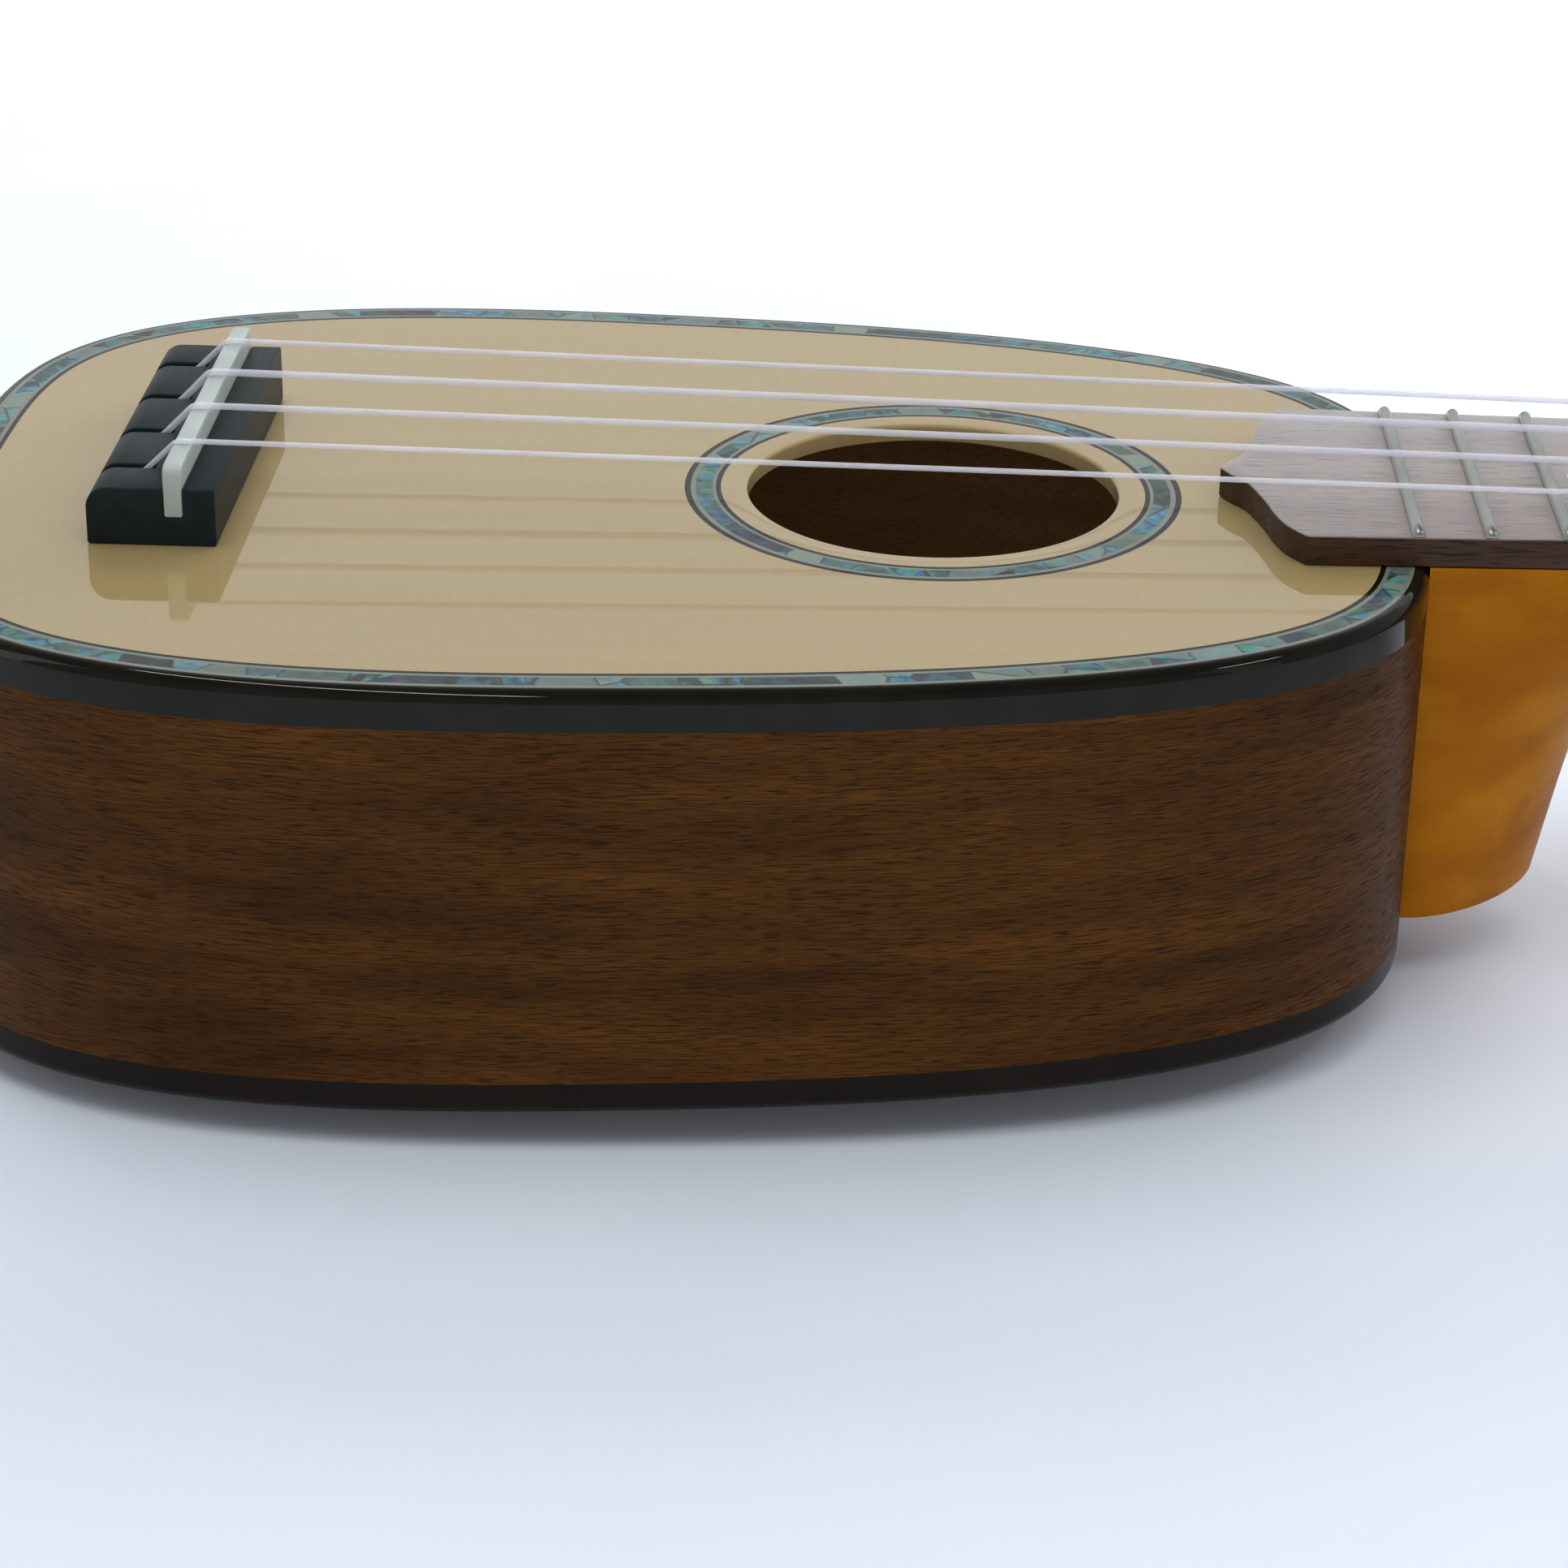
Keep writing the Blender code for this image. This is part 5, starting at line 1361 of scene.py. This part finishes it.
@dataclass
class Strings:
    """The four nylon strings, from their knots over saddle and nut to their posts."""

    bench: Bench
    plan: Layout
    neck: Neck
    groove_radius: float = 0.0024
    first_turn: float = 0.0080
    turns: float = 2.25
    steps_per_turn: int = 40
    crest_round: float = 0.0011
    # From the saddle line and the top's face: the knot, the slot's floor; then the crown.
    knot_to_slot: tuple[tuple[float, float], ...] = ((-0.0102, 0.0034), (-0.0078, 0.0048))
    crown_from_saddle: float = -0.0055
    knot_middle: tuple[float, float] = (-0.0103, 0.0031)
    knot_points: int = 48
    knot_tightness: float = 0.85

    def route(self, number: int) -> list[Vector]:
        """Give a string's centreline.

        Args:
            number: which string, from the treble side.

        Returns:
            The points, from the knot to the last turn round the post.
        """
        plan = self.plan
        diameter = plan.string_diameters[number - 1]
        radius = diameter / 2.0
        y_saddle = self.y_saddle(number)
        y_nut = (number - 2.5) * plan.string_gap_nut
        over = plan.top + plan.saddle_top + GLUE_GAP + radius
        turn = self.crest_round + radius
        bend = arc(plan.saddle_x + plan.saddle_centre, over - turn, turn, 132.0, 88.0, 6)
        rise = [*self.knot_to_slot, (self.crown_from_saddle, plan.bridge_height)]
        route = [Vector((plan.saddle_x + x, y_saddle, plan.top + z)) for x, z in rise]
        route += [Vector((x, y_saddle, z)) for x, z in bend]
        over_nut = plan.top + plan.string_height_nut
        route += [Vector((plan.nut_x + 0.0005, y_nut, over_nut)),
                  Vector((plan.nut_x + self.neck.nut_thickness, y_nut, over_nut - 0.0004))]
        _, along, across = self.neck.posts[number - 1]
        head = self.neck.head_frame()
        start = head.inverted() @ route[-1]
        side = math.copysign(1.0, across)
        coil = self.groove_radius + radius + GLUE_GAP
        away = Vector((start.x - along, start.y - across))
        touch = math.atan2(away.y, away.x) + side * math.acos(coil / away.length)
        for k in range(int(self.turns * self.steps_per_turn) + 1):
            turned_by = k / self.steps_per_turn
            angle = touch + side * FULL_TURN * turned_by
            height = self.first_turn - (diameter + 0.00008) * turned_by
            route.append(head @ Vector((along + coil * math.cos(angle),
                                        across + coil * math.sin(angle), height)))
        return route

    def wire(self, name: str, points: Sequence[Vector], radius: float, closed: bool,
             stands_for: Sequence[str]) -> None:
        """Make a round wire along points.

        Args:
            name: the piece's name.
            points: the centreline.
            radius: the wire's radius.
            closed: whether its end joins its start.
            stands_for: the CAD nodes it replaces.
        """
        curve = bpy.data.curves.new(name, "CURVE")
        curve.dimensions = "3D"
        curve.bevel_depth = radius
        curve.bevel_resolution = 4
        curve.use_fill_caps = True
        spline = curve.splines.new("POLY")
        spline.points.add(len(points) - 1)
        for point, where in zip(spline.points, points):
            point.co = (*where, 1.0)
        spline.use_cyclic_u = closed
        spline.use_smooth = True
        curve.materials.append(self.bench.finishes["clear_nylon"])
        piece = bpy.data.objects.new(name, curve)
        bpy.context.scene.collection.objects.link(piece)
        self.bench.settle(piece, "clear_nylon", ROOT, stands_for)

    def y_saddle(self, number: int) -> float:
        """Give how far across the body a string crosses the saddle."""
        return (number - 2.5) * self.plan.string_gap_saddle

    def knot(self, number: int) -> list[Vector]:
        """Give the closed trefoil of a string's knot, which sits in the bridge's pocket."""
        from_saddle, height = self.knot_middle
        middle = Vector((self.plan.saddle_x + from_saddle, self.y_saddle(number),
                         self.plan.top + height))
        points = []
        for k in range(self.knot_points):
            t = FULL_TURN * k / self.knot_points
            points.append(middle + MM * Vector((0.2 * math.sin(3.0 * t),
                                                0.30 * (math.sin(t) + 1.3 * math.sin(2.0 * t)),
                                                0.30 * (math.cos(t) - 1.3 * math.cos(2.0 * t)))))
        return points

    def build(self) -> None:
        """Build the strings and the knots that hold them in the bridge."""
        for number in range(1, 5):
            radius = self.plan.string_diameters[number - 1] / 2.0
            self.wire("nylon_string_%d" % number, self.route(number), radius, False,
                      ["string_%d" % number])
            self.wire("string_knot_%d" % number, self.knot(number),
                      radius * self.knot_tightness, True, [])


BODY_MIDDLE: Point = (-0.10, 0.0, 0.03)


@dataclass(frozen=True)
class Lamp:
    """A soft oblong light: where it hangs, its width and height, its watts, what it points at."""

    name: str
    place: Point
    size: tuple[float, float]
    power: float
    aim: Point = BODY_MIDDLE
    in_gloss: bool = True

    def hang(self) -> None:
        """Put the light into the scene; `in_gloss` says whether polished surfaces mirror it."""
        lamp = bpy.data.lights.new(self.name, "AREA")
        lamp.shape = "RECTANGLE"
        lamp.size, lamp.size_y = self.size
        lamp.energy = self.power
        light = bpy.data.objects.new(self.name, lamp)
        bpy.context.scene.collection.objects.link(light)
        light.location = self.place
        light.rotation_mode = "QUATERNION"
        way = Vector(self.aim) - Vector(self.place)
        light.rotation_quaternion = way.to_track_quat("-Z", "Y")
        light.visible_camera = False
        light.visible_glossy = self.in_gloss


LAMPS: tuple[Lamp, ...] = (
    Lamp("window", (-0.02, 0.95, 0.43), (1.4, 0.42), 0.55),
    Lamp("overhead", (0.0, -0.1, 1.3), (1.4, 1.4), 9.0, in_gloss=False),
    Lamp("front_fill", (0.22, -1.0, 0.14), (1.5, 0.26), 4.0, (0.0, -0.05, 0.0), False),
    Lamp("far_wash", (0.0, 0.75, 0.70), (1.8, 0.5), 6.0, (0.0, 0.75, 0.0), False),
    Lamp("low_fill", (0.60, 0.80, 0.35), (0.8, 0.4), 5.5, (0.08, 0.0, 0.0), False),
    Lamp("left_tube", (-0.36, -0.10, 1.10), (1.1, 0.03), 3.0),
    Lamp("right_tube", (0.80, -0.25, 1.10), (0.3, 0.05), 1.2),
    Lamp("left_strip", (-0.95, -0.30, 0.35), (0.25, 0.9), 1.0),
    Lamp("right_strip", (0.75, -0.55, 0.35), (0.2, 0.9), 0.25),
)


@dataclass
class Studio:
    """The pale table, the soft lights and the camera."""

    table_colour: str = "#dfe7f3"
    table_cloud: str = "#dbe3f0"
    table_half: float = 4.0
    sky_colour: str = "#fafbff"
    seen_level: float = 0.97
    front_level: float = 0.30
    back_level: float = 0.60
    ceiling_share: float = 0.35
    eye: Point = (-0.097424, -0.451354, 0.224981)
    right: Point = (0.99917326, 0.03798013, 0.01450187)
    down: Point = (0.02912849, -0.41995957, -0.90707524)
    forward: Point = (-0.02836064, 0.90674774, -0.42071867)
    lens_mm: float = 92.79

    def build(self) -> None:
        """Build table, lights, sky and camera."""
        self.build_table()
        self.build_sky()
        for lamp in LAMPS:
            lamp.hang()
        self.build_camera()

    def build_table(self) -> None:
        """Build the table as one wide sheet, matt with the faintest grain."""
        size = self.table_half
        mesh = bpy.data.meshes.new("table_top")
        mesh.from_pydata([(-size, -size, 0.0), (size, -size, 0.0), (size, size, 0.0),
                          (-size, size, 0.0)], [], [(0, 1, 2, 3)])
        table = bpy.data.objects.new("table_top", mesh)
        bpy.context.scene.collection.objects.link(table)
        table.location.z = -0.0002
        finish = Plain("matt_table", "floor", roughness=0.6, colour=self.table_colour,
                       second=self.table_cloud, cloud_mm=(90.0, 90.0, 90.0), relief_mm=0.02)
        mesh.materials.append(finish.build())

    def build_sky(self) -> None:
        """Surround the scene with a pale studio, dimmer in front and towards the ceiling."""
        world = bpy.data.worlds.new("pale_surround")
        world.use_nodes = True
        tree = world.node_tree
        shade = tree.nodes["Background"]
        way = add_node(tree, "TexCoord").outputs["Generated"]
        part = add_node(tree, "SeparateXYZ", {"Vector": way})
        behind = add_node(tree, "MapRange", {"Value": part.outputs["Y"], "From Min": -0.4,
                                             "From Max": 0.9, "To Min": self.front_level,
                                             "To Max": self.back_level})
        seen = add_node(tree, "LightPath").outputs["Is Camera Ray"]
        above = add_node(tree, "MapRange", {"Value": part.outputs["Z"], "From Min": 0.45,
                                            "From Max": 0.85, "To Min": 1.0,
                                            "To Max": self.ceiling_share})
        dimmed = add_node(tree, "Math", {0: behind.outputs["Result"],
                                         1: above.outputs["Result"]}, operation="MULTIPLY")
        level = add_node(tree, "Mix", {0: seen, 2: dimmed.outputs[0], 3: self.seen_level},
                         data_type="FLOAT")
        shade.inputs["Color"].default_value = linear(self.sky_colour)
        tree.links.new(level.outputs[0], shade.inputs["Strength"])
        bpy.context.scene.world = world

    def build_camera(self) -> None:
        """Set the camera over the near side, looking along the body."""
        data = bpy.data.cameras.new("camera")
        data.sensor_width = 36.0
        data.lens = self.lens_mm
        data.clip_start = 0.01
        data.clip_end = 20.0
        camera = bpy.data.objects.new("camera", data)
        bpy.context.scene.collection.objects.link(camera)
        axes = Matrix((self.right, [-v for v in self.down], [-v for v in self.forward]))
        camera.matrix_world = Matrix.Translation(self.eye) @ axes.transposed().to_4x4()
        bpy.context.scene.camera = camera
        bpy.context.scene.view_settings.view_transform = "Standard"


def main() -> None:
    """Build every class in order and report each."""
    logging.basicConfig(level=logging.INFO, format="%(name)s: %(message)s")
    bench = Bench()
    plan = Layout()
    SoundBox(bench, plan).build()
    LOG.info("sound box built")
    Bridge(bench, plan).build()
    LOG.info("bridge and saddle built")
    neck = Neck(bench, plan)
    neck.build()
    LOG.info("neck, fretboard, frets and nut built")
    for number, along, across in neck.posts:
        place = neck.head_frame() @ Matrix.Translation((along, across, 0.0))
        Tuner(bench, number, place, math.copysign(1.0, across)).build()
    LOG.info("tuners built")
    Strings(bench, plan, neck).build()
    LOG.info("strings built")
    Studio().build()
    LOG.info("studio built")


if __name__ == "__main__":
    main()
